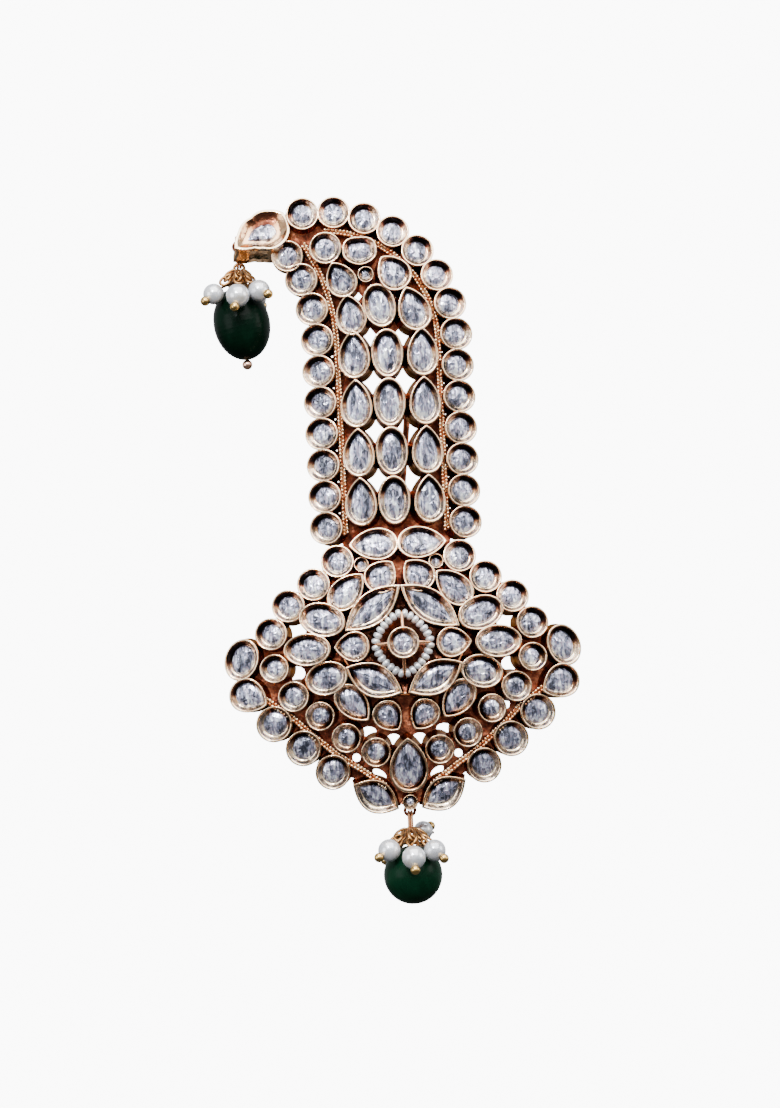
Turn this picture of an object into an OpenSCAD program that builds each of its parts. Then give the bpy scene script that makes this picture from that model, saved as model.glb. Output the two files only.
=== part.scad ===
/* [Collets] */
// Sides of a long collet, the cup that holds an oval, pear or leaf stone
long_sides = 10; // [8:2:12]
// Sides of a round collet
round_sides = 8; // [8:2:12]
// Sides of each cut stone
stone_sides = 8; // [8:2:12]
// Width of a collet's foot as a share of its rim
foot_share = 0.78; // [0.7:0.02:0.86]
// Width of a collet's seat as a share of its rim
seat_share = 0.62; // [0.56:0.02:0.66]
// Depth of the seat below the rim
seat_depth = 1.4; // [1.2:0.1:1.7]
// Free space under a stone
stone_gap = 0.1; // [0.1:0.05:0.3]

/* [Column] */
// Distance of the right border's collets from the middle line
right_border_x = 12.55; // [12:0.05:13]
// Distance of the left border's collets from the middle line
left_border_x = 12.75; // [12:0.05:13]
// Radius of the right border's bend
right_bend_radius = 24.0; // [23:0.1:25]
// Radius of the left border's bend
left_bend_radius = 30.9; // [30:0.1:32]
// Height at which both borders start to bend
bend_height = 55.2; // [54:0.1:56]
// Spacing of the border's collets
border_pitch = 5.7; // [5.6:0.02:5.8]
// Spacing of the rows of ovals and pears
row_pitch = 8.9; // [8.8:0.01:9]
// Height of the border's rims over the column's plate
column_border_height = 3.0; // [2.6:0.1:3.4]
// Height of the inner rims over the column's plate
column_field_height = 4.4; // [4:0.1:4.8]
// Radius of the curve across the column's front
column_dome = 36; // [32:1:45]

/* [Plaque] */
// Height of the plaque's back over the column's back
plaque_lift = 2.0; // [1.6:0.1:2.4]
// Height of the plaque's border rims over its plate
plaque_border_height = 3.2; // [2.8:0.1:3.4]
// Height of the inner rims over the plaque's plate
plaque_tier_height = 4.7; // [4.4:0.1:5]
// Height of the boss over the plaque's plate
boss_height = 3.3; // [3:0.1:3.6]
// Height of the boss's rims over the boss
boss_collet_height = 2.6; // [2.3:0.1:2.9]
// Height of the flower's rim over the boss
flower_height = 5.0; // [4.4:0.2:5.6]
// Thickness of each backing plate
plate = 0.9; // [0.8:0.1:1.2]
// Radius of the dome that tilts the plaque's collets
dome_radius = 85; // [75:5:110]

/* [Back pin] */
// Radius of the pin's stem
stem_radius = 0.6; // [0.5:0.05:0.8]
// Length of the stem
stem_length = 40; // [30:1:45]
// Distance of the stem behind the column's back
stem_stand = 5.5; // [5:0.5:7]
// Lean of the stem to the left, in degrees
stem_lean = 6.5; // [0:0.5:8]

/* [Pendants] */
// Wire radius of the jump rings, eyes and loops
wire_radius = 0.28; // [0.25:0.01:0.3]
// Wire radius of the pins that carry the pearls
pin_radius = 0.22; // [0.2:0.01:0.25]
// Radius of the ball heads of those pins
ball_radius = 0.85; // [0.75:0.05:0.9]
// Radius of the lower pendant's bead
bead_radius = 5.3; // [5:0.1:5.5]
// Half the width of the upper pendant's drop
drop_half_width = 5.15; // [4.9:0.05:5.4]
// Half the length of the upper pendant's drop
drop_half_length = 6.75; // [6.4:0.05:7]
// Lean of the drop's long axis, in degrees
drop_lean = 9.5; // [0:0.5:12]

/* [Hidden] */
$fn = 48;
GOLD = [0.78, 0.60, 0.47];
YELLOW = [0.78, 0.64, 0.30];
FOIL = [0.66, 0.69, 0.78];
PEARL = [0.90, 0.89, 0.90];
GREEN = [0.02, 0.16, 0.09];
ROUND = "round";
PEAR = "pear";
LEAF = "leaf";
SHIELD = "shield";
FAN = "fan";

// The flower's middle and the column's back lie here in the part's frame, whose origin is on the pin's stem
flower_place = [-3, -stem_stand, -41];

// Stones and plates are drawn lying on their back: x to the right, y up the brooch, z towards the front.
// Every row of stones has the columns x, y, width, height, turn and cut.
FIELD_TOP = [
    [-1.2, 61.5, 5.6, 7.6, 12, ROUND],
    [-6.5, 60.0, 5.2, 7.1, 8, PEAR],
    [5.0, 60.7, 5.6, 7.9, 17, PEAR],
    [-8.0, 66.6, 5.2, 6.5, 25, PEAR],
    [1.6, 67.5, 5.7, 6.7, 35, PEAR],
    [-3.4, 67.3, 2.7, 2.7, 0, ROUND],
    [-10.5, 72.4, 5.5, 5.5, 0, ROUND],
    [-4.3, 71.6, 5.9, 4.9, 180, SHIELD],
];
BUD = [-21.6, 76.4, 9.5, 7.4, 0, FAN];
// The last stone of the left border, which makes room for the bud
LAST_LEFT = [-17.4, 71.4, 5.4, 5.4, 33, ROUND];
HALF_BORDER = [
    [4.35, 18.3, 5.6, 8.4, -90, PEAR],
    [6.75, 14.75, 2.5, 2.5, 0, ROUND],
    [11.05, 15.5, 5.6, 5.6, 0, ROUND],
    [15.55, 11.5, 5.6, 5.6, 0, ROUND],
    [20.25, 7.8, 5.6, 5.6, 0, ROUND],
    [23.6, 2.9, 5.5, 5.5, 0, ROUND],
    [29.1, -1.45, 5.7, 7.2, 20, ROUND],
    [28.1, -8.1, 5.8, 6.8, 118, PEAR],
    [23.8, -13.3, 6.1, 6.1, 0, ROUND],
    [18.75, -17.9, 6.0, 6.0, 0, ROUND],
    [13.65, -22.45, 5.9, 5.9, 0, ROUND],
    [6.1, -27.2, 5.5, 8.8, -60, LEAF],
];
HALF_TIER = [
    [3.3, 12.4, 5.5, 6.1, 40, PEAR],
    [9.6, 9.9, 5.2, 7.9, 45, PEAR],
    [14.3, 5.0, 5.8, 8.0, -73, ROUND],
    [17.25, -0.3, 5.6, 8.0, -90, ROUND],
    [14.0, -5.6, 5.7, 7.3, -105, ROUND],
    [23.3, -3.4, 4.9, 4.9, 0, ROUND],
    [20.1, -8.6, 5.2, 5.2, 0, ROUND],
    [15.5, -12.35, 4.9, 4.9, 0, ROUND],
    [10.95, -16.5, 5.0, 5.0, 0, ROUND],
    [5.75, -19.3, 5.0, 5.0, 0, ROUND],
    [9.4, -10.4, 5.1, 7.6, 140, PEAR],
    [3.2, -13.0, 5.0, 5.7, 143, PEAR],
];
HALF_BOSS = [
    [5.15, 6.6, 5.5, 12.2, 52.4, LEAF],
    [5.55, -6.4, 5.7, 10.6, -63, LEAF],
    [9.2, -0.2, 5.2, 6.0, -90, PEAR],
];
TIP_PEAR = [0, -21.9, 6.6, 9.2, 0, PEAR];
TIP_ROUND = [0, -28.5, 2.6, 2.6, 0, ROUND];
FLOWER = [0, 0, 5.4, 5.4, 0, ROUND];

first_border_y = 21.7;
first_row_y = 26.1;
field_pear_x = 6.25;
border_size = 5.6;

// Column stones that follow from its two borders and its rows
function border_stone(x, r, side, k) =
    let (d = first_border_y + border_pitch * k - bend_height, a = d < 0 ? 0 : d / r * 180 / PI)
    concat([side * x - r + r * cos(a), bend_height + (d < 0 ? d : r * sin(a))],
           [border_size, border_size, a, ROUND]);
RIGHT_BORDER = [for (k = [0:13]) border_stone(right_border_x, right_bend_radius, 1, k)];
LEFT_BORDER = concat([for (k = [0:8]) border_stone(left_border_x, left_bend_radius, -1, k)], [LAST_LEFT]);
FIELD_OVALS = [for (k = [0:3]) [-0.2, first_row_y + row_pitch * k, 5.5, 8.4, 0, ROUND]];
function field_pears(side) =
    [for (k = [0:3]) [side * field_pear_x, first_row_y + row_pitch * k, 5.4, 8.4, 0, PEAR]];
FIELD = concat(FIELD_OVALS, field_pears(-1), field_pears(1), FIELD_TOP);
COLUMN_BORDER = concat(RIGHT_BORDER, LEFT_BORDER, [BUD]);

function mirrored(s) = [-s[0], s[1], s[2], s[3], -s[4], s[5]];
function half(stones, side) = [for (s = stones) side > 0 ? s : mirrored(s)];
function both(stones) = concat(half(stones, 1), half(stones, -1));
PLAQUE_BORDER = concat(both(HALF_BORDER), [TIP_ROUND]);
PLAQUE_TIER = concat(both(HALF_TIER), [TIP_PEAR]);
PLAQUE_BOSS = both(HALF_BOSS);

// Outline of each cut: a point at angle t, counted from the right
function signed_power(v, p) = sign(v) * pow(abs(v), p);
function plan(cut, w, h, t) =
    cut == LEAF ? [w / 2 * signed_power(cos(t), 2), h / 2 * sin(t)] :
    cut == SHIELD ? [w / 2 * signed_power(cos(t), sin(t) > 0 ? 1.3 : 0.6), h / 2 * signed_power(sin(t), 0.8)] :
    cut == PEAR && sin(t) > 0 ? [w / 2 * signed_power(cos(t), 1.6), h * (0.6 * sin(t) - 0.1)] :
    cut == PEAR ? [w / 2 * cos(t), h * (0.4 * sin(t) - 0.1)] :
    [w / 2 * cos(t), h / 2 * sin(t)];
// A polygon of n sides this much larger has the area of its circle
function even_area(n) = sqrt(2 * PI / (n * sin(360 / n)));
// How far the bud's outline is from its middle in each direction, as a share of its width
FAN_REACH = [[0, 0.484], [41, 0.5], [73, 0.41], [130, 0.332], [185, 0.453], [212, 0.619], [242, 0.384],
             [270, 0.358], [294, 0.41], [350, 0.481], [360, 0.484]];
// The bud's outline starts opposite its sharp corner. Round cuts start half a side on, to meet their neighbours flat.
function outline(cut, w, h, n) =
    cut == FAN ? [for (i = [0:n - 1]) let (t = 32 + 360 * i / n) w * lookup(t % 360, FAN_REACH) * [cos(t), sin(t)]] :
    [for (i = [0:n - 1]) (cut == ROUND ? even_area(n) : 1) * plan(cut, w, h, 90 + 360 * (i + (w == h ? 0.5 : 0)) / n)];
function turned(p, a) = [p.x * cos(a) - p.y * sin(a), p.x * sin(a) + p.y * cos(a)];
function place(s) = [s[0], s[1]];
function footprint(s, share, n) = [for (p = outline(s[5], s[2] * share, s[3] * share, n)) turned(p, s[4])];
function sides(s) = s[2] == s[3] ? round_sides : long_sides;

// Outward slope of the surface that carries a stone: the column curves across its width, the plaque is a dome
function bend_turn(p, across) =
    atan2(p.y - bend_height, p.x + (across > 0 ? right_bend_radius - right_border_x : left_bend_radius + left_border_x));
function bent_across(p) =
    (norm([p.x - right_border_x + right_bend_radius, p.y - bend_height]) - right_bend_radius + right_border_x) / 2
    + (norm([p.x + left_border_x + left_bend_radius, p.y - bend_height]) - left_bend_radius - left_border_x) / 2;
function column_slope(p) =
    let (across = p.y < bend_height ? p.x : bent_across(p), turn = p.y < bend_height ? 0 : bend_turn(p, across))
    across / column_dome * [cos(turn), sin(turn)];
function plaque_slope(p) = p / dome_radius;
// The bud leans back at its top
bud_slope = [0, 0.5];
function column_lean(s) = s[5] == FAN ? bud_slope : column_slope(place(s));

// Rings of points: one that leans with the surface at a depth under the rim, and a level one
function leaning_ring(s, rim, slope, share, down, n) =
    [for (q = footprint(s, share, n))
        [s[0] + q.x - slope.x * down, s[1] + q.y - slope.y * down, rim - down - slope * q]];
function level_ring(s, rim, slope, share, level, n) =
    [for (q = footprint(s, share, n))
        [s[0] + q.x - slope.x * (rim - level), s[1] + q.y - slope.y * (rim - level), level]];

// One closed solid through rings of the same number of points, each anticlockwise seen from the front
module loft(rings) {
    n = len(rings[0]);
    last = (len(rings) - 1) * n;
    polyhedron(
        points = [for (ring = rings) each ring],
        faces = concat(
            [[for (i = [0:n - 1]) i]],
            [for (k = [0:len(rings) - 2], i = [0:n - 1]) let (a = k * n, b = a + n, j = (i + 1) % n)
                each [[a + i, b + i, b + j], [a + i, b + j, a + j]]],
            [[for (i = [n - 1:-1:0]) last + i]]
        )
    );
}

// What stands on a plate stops this far short of the plate's back
sink = 0.15;
// A cup whose foot goes into its plate and whose thin rim leans with the surface
module collet(s, level, height, slope) {
    rim = level + height;
    loft([
        level_ring(s, rim, slope, foot_share, level - plate + sink, sides(s)),
        leaning_ring(s, rim, slope, 1, 0, sides(s)),
        leaning_ring(s, rim, slope, seat_share, seat_depth, sides(s)),
    ]);
}

// A flat-backed stone, with its crown facets and its table
module cut_stone(s, level, height, slope) {
    loft([
        leaning_ring(s, level + height, slope, seat_share - 0.03, seat_depth - stone_gap, stone_sides),
        leaning_ring(s, level + height, slope, seat_share - 0.24, seat_depth - 0.95, stone_sides),
    ]);
}

// The plaque's rims lie lower towards its ends
function plaque_fall(s) = 0.8 * pow(norm(place(s)) / 30, 2);
plaque_front = plaque_lift + plate;
boss_front = plaque_front + boss_height;

module column_border_collet(s) collet(s, plate, column_border_height, column_lean(s));
module column_border_stone(s) cut_stone(s, plate, column_border_height, column_lean(s));
module field_collet(s) collet(s, plate, column_field_height, column_lean(s));
module field_stone(s) cut_stone(s, plate, column_field_height, column_lean(s));
module border_collet(s) collet(s, plaque_front, plaque_border_height - plaque_fall(s), plaque_slope(place(s)));
module border_cut_stone(s)
    cut_stone(s, plaque_front, plaque_border_height - plaque_fall(s), plaque_slope(place(s)));
module tier_collet(s) collet(s, plaque_front, plaque_tier_height - plaque_fall(s), plaque_slope(place(s)));
module tier_stone(s) cut_stone(s, plaque_front, plaque_tier_height - plaque_fall(s), plaque_slope(place(s)));
module boss_collet(s) collet(s, boss_front, boss_collet_height, plaque_slope(place(s)));
module boss_stone(s) cut_stone(s, boss_front, boss_collet_height, plaque_slope(place(s)));

// Stands what is drawn lying on its back upright, and moves it into the part's frame
module upright() {
    translate(flower_place) rotate([90, 0, 0]) children();
}

// Footprint of a collet on its plate, where its lean brings it
module foot(s, height, slope, share) {
    translate(place(s) - slope * height) polygon(footprint(s, share, 8));
}
// Holes cut through a plate between the collets. A row has x, y, half width, half height and turn.
module holes(rows, n) {
    for (h = rows)
        polygon([for (i = [0:n - 1]) [h[0], h[1]] + turned([h[2] * cos(360 * i / n), h[3] * sin(360 * i / n)], h[4])]);
}

// A raised wire along a row of points, standing on a plate
module raised_wire(points, from, to, r) {
    for (i = [0:len(points) - 2])
        hull()
            for (p = [points[i], points[i + 1]])
                translate([p.x, p.y, from]) cylinder(r = r, h = to - from, $fn = 6);
}
function strip_point(x, r, side, inset, d) =
    let (a = d < 0 ? 0 : d / r * 180 / PI)
    [side * x - r + (r - side * inset) * cos(a), bend_height + (d < 0 ? d : (r - side * inset) * sin(a))];
right_inset = 3.45;
left_inset = 3.55;
strip_foot = first_border_y - bend_height - 1.2;
RIGHT_STRIP = [for (d = [strip_foot, 0, 5, 10, 15, 20, 25, 30, 36])
    strip_point(right_border_x, right_bend_radius, 1, right_inset, d)];
LEFT_STRIP = [for (d = [strip_foot, 0, 6, 12, 17])
    strip_point(left_border_x, left_bend_radius, -1, left_inset, d)];
// The plaque's lower strip on the right, between its border and its second tier
LOWER_STRIP = [[25.05, -8.8], [20.75, -12.0], [16.6, -15.9], [11.9, -19.8], [7.8, -22.6], [4.4, -25.2]];
strip_height = 2.4;
strip_radius = 0.5;

// Eye behind a tip, facing the front, with the post that solders it on
eye_radius = 0.9;
eye_stand = 1.6;
module eye(x, y, back) {
    translate([x, y, back - eye_stand]) {
        rotate_extrude($fn = 14) translate([eye_radius, 0]) circle(wire_radius, $fn = 6);
        translate([0, eye_radius, 0]) cylinder(r = 0.4, h = eye_stand + 0.3, $fn = 8);
    }
}
UPPER_EYE = [-26.2, 74.2];
LOWER_EYE = [0, -29.8];

// The column's plate lies between the strips, reaches out under the collets round its top, has diamond holes between
// its rows, and ends in a tongue behind the plaque
strip_cover = 0.75;
DIAMONDS = concat(
    [for (k = [0:2], x = [-3.2, 3.0]) [x, first_row_y + row_pitch * (k + 0.5), 1.9, 2.6, 0]],
    [[-3.2, 56.0, 1.9, 2.4, 0], [3.1, 56.5, 1.9, 2.2, 0], [-5.1, 63.9, 1.0, 1.1, 0], [2.5, 63.6, 0.7, 0.7, 0]]
);
function column_foot(s) = place(s) - column_lean(s) * column_border_height;
module column_plate() {
    eye_post = [UPPER_EYE.x, UPPER_EYE.y + eye_radius];
    difference() {
        polygon(concat(
            [[9.3, 13.5]],
            [for (d = [strip_foot, 0, 5, 10])
                strip_point(right_border_x, right_bend_radius, 1, right_inset - strip_cover, d)],
            [for (k = [8:13]) column_foot(RIGHT_BORDER[k])],
            [for (q = [[4.2, 1.7], [-0.5, 0.7], [-0.6, -0.8], [3, -2], [5.8, -1.5]]) eye_post + q],
            [for (k = [9, 8, 7]) column_foot(LEFT_BORDER[k])],
            [for (d = [0, strip_foot])
                strip_point(left_border_x, left_bend_radius, -1, left_inset - strip_cover, d)],
            [[-9.4, 13.5]]
        ));
        holes(DIAMONDS, 4);
    }
}

module column_setting() {
    color(GOLD) upright() {
        linear_extrude(plate) column_plate();
        raised_wire(RIGHT_STRIP, sink, plate + strip_height, strip_radius);
        raised_wire(LEFT_STRIP, sink, plate + strip_height, strip_radius);
        for (s = COLUMN_BORDER) column_border_collet(s);
        for (s = FIELD) field_collet(s);
        // A pad on the tongue reaches the plaque's back
        translate([-7.5, 14, sink]) linear_extrude(plaque_lift - stone_gap - sink) square([15, 6]);
        eye(UPPER_EYE.x, UPPER_EYE.y, 0);
    }
}

// The boss is a low box, open at the back, with the flower's collet on a stalk
module boss_outline() {
    hull()
        for (s = PLAQUE_BOSS) foot(s, boss_collet_height, plaque_slope(place(s)), 0.98);
}
module boss() {
    difference() {
        translate([0, 0, plaque_lift + 2 * sink]) linear_extrude(plate + boss_height - 2 * sink) boss_outline();
        translate([0, 0, plaque_lift - 1]) linear_extrude(boss_height + 1) offset(delta = -plate) boss_outline();
    }
    collet(FLOWER, boss_front, flower_height, [0, 0]);
}
prong_reach = 3.9;
module prongs() {
    for (a = [0, 90, 180, 270])
        rotate(a) hull() {
            translate([2.2, 0, boss_front + flower_height - 1.6]) cylinder(r = 0.45, h = 0.9, $fn = 6);
            translate([prong_reach + (a % 180 == 0 ? 0 : 1), 0, boss_front + flower_height - 2.3])
                cylinder(r = 0.3, h = 0.7, $fn = 6);
        }
}

// The plaque's plate reaches to the middles of the border's feet. It has holes between its collets, and is open under
// the boss.
HALF_HOLES = [
    [18.9, 3.7, 1.8, 1.5, 0],
    [19.2, -4.2, 1.5, 1.3, 0],
    [6.8, -15.3, 1.4, 0.9, 0],
    [2.35, -16.9, 1.3, 1.0, 0],
    [9.2, -19.9, 0.75, 0.75, 0],
    [5.2, -23.0, 1.4, 0.7, 35],
];
RIGHT_HOLE = [18.3, -11.4, 0.6, 0.9, 0];
function plaque_foot(s) = place(s) - plaque_slope(place(s)) * plaque_border_height;
module plaque_plate() {
    edge = [0, for (k = [2:11]) k];
    difference() {
        polygon(concat(
            [for (k = edge) plaque_foot(HALF_BORDER[k])],
            [[0, -29.5]],
            [for (i = [len(edge) - 1:-1:0]) plaque_foot(mirrored(HALF_BORDER[edge[i]]))]
        ));
        holes(concat([RIGHT_HOLE], HALF_HOLES, [for (h = HALF_HOLES) [-h[0], h[1], h[2], h[3], -h[4]]]), 6);
        offset(delta = -plate / 2) boss_outline();
    }
}

module plaque_setting() {
    color(GOLD) upright() {
        translate([0, 0, plaque_lift]) linear_extrude(plate) plaque_plate();
        for (side = [-1, 1])
            raised_wire([for (p = LOWER_STRIP) [side * p.x, p.y]], plaque_lift + 3 * sink, plaque_front + strip_height,
                        strip_radius);
        for (s = PLAQUE_BORDER) border_collet(s);
        for (s = PLAQUE_TIER) tier_collet(s);
        for (s = PLAQUE_BOSS) boss_collet(s);
        boss();
        prongs();
        eye(LOWER_EYE.x, LOWER_EYE.y, plaque_lift);
    }
}

// The string of seed pearls round the flower: a rounded rhombus, wider up than across
seed_radius = 0.72;
function seed_point(t) = [4.55 * signed_power(cos(t), 1.25), 5.7 * signed_power(sin(t), 1.25)];
module seed_pearl_string() {
    turns = 28;
    level = boss_front + flower_height - 3.1;
    color(PEARL) upright()
        for (i = [0:turns - 1]) {
            a = seed_point(360 * i / turns);
            b = seed_point(360 * (i + 1) / turns);
            hull() {
                translate([a.x, a.y, level]) sphere(seed_radius, $fn = 6);
                translate([b.x, b.y, level]) sphere(seed_radius, $fn = 6);
            }
        }
}

// Stones, in one node for a border or a field, and one for each main stone
module column_border_stones(side) {
    color(FOIL) upright() for (s = side > 0 ? RIGHT_BORDER : LEFT_BORDER) column_border_stone(s);
}
module bud_stone() {
    color(FOIL) upright() column_border_stone(BUD);
}
module column_oval(k) {
    color(FOIL) upright() field_stone(k < 5 ? FIELD_OVALS[k - 1] : FIELD_TOP[0]);
}
module column_pears(side) {
    top = [for (s = FIELD_TOP) if (s[5] == PEAR && side * (s[0] + 2) > 0) s];
    color(FOIL) upright() for (s = concat(field_pears(side), top)) field_stone(s);
}
module column_top_stones() {
    color(FOIL) upright() for (s = [FIELD_TOP[5], FIELD_TOP[6], FIELD_TOP[7]]) field_stone(s);
}
module plaque_border_stones(side) {
    color(FOIL) upright() for (s = half(HALF_BORDER, side)) border_cut_stone(s);
}
module plaque_tier_stones(side) {
    color(FOIL) upright() for (s = half(HALF_TIER, side)) tier_stone(s);
}
module tip_round_stone() {
    color(FOIL) upright() border_cut_stone(TIP_ROUND);
}
module tip_pear_stone() {
    color(FOIL) upright() tier_stone(TIP_PEAR);
}
module boss_cut_stone(k, side) {
    color(FOIL) upright() boss_stone(half([HALF_BOSS[k]], side)[0]);
}
module flower_stone() {
    color(FOIL) upright() cut_stone(FLOWER, boss_front, flower_height, [0, 0]);
}

// The back pin, whose stem runs through the origin: a foot on the column's back, a post and the stem
stem_above = 3;
module back_pin() {
    post_length = stem_stand - stone_gap;
    color(GOLD) rotate([0, stem_lean, 0]) {
        translate([0, 0, stem_above]) {
            sphere(stem_radius);
            rotate([90, 0, 0]) cylinder(r = stem_radius, h = post_length);
            translate([0, -post_length, 0]) rotate([-90, 0, 0]) cylinder(r = 1.8, h = 0.8);
        }
        translate([0, 0, stem_above - stem_length]) {
            cylinder(r = stem_radius, h = stem_length);
            sphere(stem_radius);
        }
    }
}

// The pendants are drawn upright, from the flower's middle: x to the right, y to the back, z up.
// A pendant hangs from the eye by a long ring, which its own loop hooks into.
link_gap = 0.7;
ring_end_radius = 0.9;
ring_straight = 1.8;
ring_length = 2 * ring_end_radius + ring_straight;
function ring_top(eye) = eye.y - eye_radius + link_gap;
function loop_middle(eye) = ring_top(eye) - ring_length + link_gap - eye_radius;
upper_y = eye_stand;
lower_y = eye_stand - plaque_lift;

module half_ring() {
    rotate_extrude(angle = 180) translate([ring_end_radius, 0]) circle(wire_radius);
}
// A long ring in the plane that runs from front to back
module jump_ring(eye, y) {
    color(GOLD) translate(flower_place) translate([eye.x, y, ring_top(eye) - ring_end_radius]) rotate([90, 0, 90]) {
        half_ring();
        translate([0, -ring_straight]) rotate(180) half_ring();
        for (side = [-1, 1])
            translate([side * ring_end_radius, -ring_straight, 0]) rotate([-90, 0, 0])
                cylinder(r = wire_radius, h = ring_straight);
    }
}

// Pearls of each pendant, from its axis: right, back, height, radius, and the pin's turn and dip
UPPER_PEARLS = [
    [-4.85, -3.9, 65.3, 1.9, 226, 32],
    [-0.5, -6.6, 64.5, 2.15, 251, 49],
    [3.4, -5.05, 65.4, 2.0, 308, 19],
    [-0.7, 3.3, 69.0, 1.65, 99, -12],
    [-2.6, 5.75, 65.0, 1.9, 114, 25],
    [2.8, 5.4, 65.3, 1.9, 63, 25],
];
LOWER_PEARLS = [
    [-4.15, -4.5, -36.9, 2.05, 220, 25],
    [0.1, -7.1, -38.4, 2.15, 273, 50],
    [3.94, -4.95, -37.3, 2.0, 312, 33],
    [2.3, 3.2, -33.5, 1.75, 54, -18],
    [-3.3, 5.5, -37.2, 1.9, 125, 30],
    [3.1, 5.7, -37.4, 1.9, 57, 24],
];
pin_gap = 0.1;

// Moves its children to a pearl, with the pin's direction along z
module at_pearl(p) {
    translate([p[0], p[1], p[2]]) rotate([0, 90 + p[5], p[4]]) children();
}
module pearl(eye, y, p) {
    color(PEARL) translate(flower_place) translate([eye.x, y, 0]) at_pearl(p) difference() {
        sphere(p[3]);
        cylinder(r = pin_radius + pin_gap, h = 3 * p[3], center = true);
    }
}
// A straight round wire between two points
module wire_between(a, b, r) {
    v = b - a;
    translate(a) rotate([0, acos(v.z / norm(v)), atan2(v.y, v.x)]) cylinder(r = r, h = norm(v));
}
function pin_direction(p) = [cos(p[5]) * cos(p[4]), cos(p[5]) * sin(p[4]), -sin(p[5])];
module pearl_pin(p, hub) {
    entry = [p[0], p[1], p[2]] - pin_direction(p) * (p[3] + 0.35);
    head = [p[0], p[1], p[2]] + pin_direction(p) * (p[3] + ball_radius * 0.8 + pin_gap);
    wire_between(hub, entry, pin_radius);
    translate(entry) sphere(pin_radius * 1.15);
    wire_between(entry, head, pin_radius);
    translate(head) sphere(ball_radius);
}
// The wound hub: a barrel with turns of wire round it, from its top down
module wound_hub(top, bottom) {
    barrel_radius = 1.0;
    translate([0, 0, bottom]) cylinder(r = barrel_radius, h = top - bottom);
    for (z = [bottom + 0.3:0.7:top - 0.35])
        translate([0, 0, z]) rotate_extrude() translate([barrel_radius, 0]) circle(0.27);
}
module loop(z) {
    translate([0, 0, z]) rotate([90, 0, 0]) rotate_extrude() translate([eye_radius, 0]) circle(wire_radius);
}

bead_middle = -41.4;
drop_middle = 60.15;
drop_bore_lean = 5;
bore_radius = 0.45;
core_radius = 0.3;

module upper_wires() {
    hub_top = loop_middle(UPPER_EYE) - eye_radius;
    hub_bottom = 67.15;
    color(YELLOW) translate(flower_place) translate([UPPER_EYE.x, upper_y, 0]) {
        loop(loop_middle(UPPER_EYE));
        wound_hub(hub_top, hub_bottom);
        for (p = UPPER_PEARLS) pearl_pin(p, [0, 0, (hub_top + hub_bottom) / 2]);
        translate([0, 0, drop_middle]) rotate([0, -drop_bore_lean, 0]) {
            translate([0, 0, -drop_half_length - 0.6]) cylinder(r = core_radius, h = 2 * drop_half_length + 1.2);
            translate([0, 0, -drop_half_length - ball_radius]) sphere(ball_radius);
        }
    }
}
module lower_wires() {
    hub_top = loop_middle(LOWER_EYE) - eye_radius;
    hub_bottom = bead_middle + bead_radius + pin_gap;
    color(YELLOW) translate(flower_place) translate([LOWER_EYE.x, lower_y, 0]) {
        loop(loop_middle(LOWER_EYE));
        wound_hub(hub_top, hub_bottom);
        for (p = LOWER_PEARLS) pearl_pin(p, [0, 0, (hub_top + hub_bottom) / 2]);
        translate([0, 0, bead_middle - bead_radius + pin_gap])
            cylinder(r = core_radius, h = 2 * bead_radius + 0.6);
    }
}
module upper_drop() {
    steps = 24;
    color(GREEN) translate(flower_place) translate([UPPER_EYE.x, upper_y, drop_middle]) difference() {
        rotate([0, -drop_lean, 0]) rotate_extrude()
            polygon([for (i = [0:steps]) let (t = 180 * i / steps)
                [drop_half_width * sin(t), drop_half_length * cos(t)]]);
        rotate([0, -drop_bore_lean, 0])
            cylinder(r = bore_radius, h = 3 * drop_half_length, center = true);
    }
}
module lower_bead() {
    color(GREEN) translate(flower_place) translate([LOWER_EYE.x, lower_y, bead_middle]) difference() {
        sphere(bead_radius);
        cylinder(r = bore_radius, h = 3 * bead_radius, center = true);
    }
}

SIDES = [-1, 1];
SIDE_NAMES = ["left", "", "right"];
function side_name(side) = SIDE_NAMES[side + 1];
BOSS_NAMES = ["upper_leaf_stone_", "lower_leaf_stone_", "side_pear_stone_"];
NODES = concat(
    ["column_setting", "plaque_setting", "back_pin", "seed_pearl_string",
     "bud_stone", "column_top_stones", "tip_round_stone", "tip_pear_stone", "flower_stone",
     "upper_ring", "upper_wires", "upper_drop", "lower_ring", "lower_wires", "lower_bead"],
    [for (side = SIDES, name = ["column_border_stones_", "column_pear_stones_", "plaque_border_stones_",
                                "plaque_tier_stones_", each BOSS_NAMES]) str(name, side_name(side))],
    [for (k = [1:5]) str("column_oval_stone_", k)],
    [for (k = [1:6], name = ["upper_pearl_", "lower_pearl_"]) str(name, k)]
);
node = "all";
function shown(name) = node == "all" || node == name;

if (shown("column_setting")) column_setting();
if (shown("plaque_setting")) plaque_setting();
if (shown("back_pin")) back_pin();
if (shown("seed_pearl_string")) seed_pearl_string();
if (shown("bud_stone")) bud_stone();
if (shown("column_top_stones")) column_top_stones();
if (shown("tip_round_stone")) tip_round_stone();
if (shown("tip_pear_stone")) tip_pear_stone();
if (shown("flower_stone")) flower_stone();
for (side = SIDES) {
    if (shown(str("column_border_stones_", side_name(side)))) column_border_stones(side);
    if (shown(str("column_pear_stones_", side_name(side)))) column_pears(side);
    if (shown(str("plaque_border_stones_", side_name(side)))) plaque_border_stones(side);
    if (shown(str("plaque_tier_stones_", side_name(side)))) plaque_tier_stones(side);
    for (k = [0:2])
        if (shown(str(BOSS_NAMES[k], side_name(side)))) boss_cut_stone(k, side);
}
for (k = [1:5])
    if (shown(str("column_oval_stone_", k))) column_oval(k);
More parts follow.
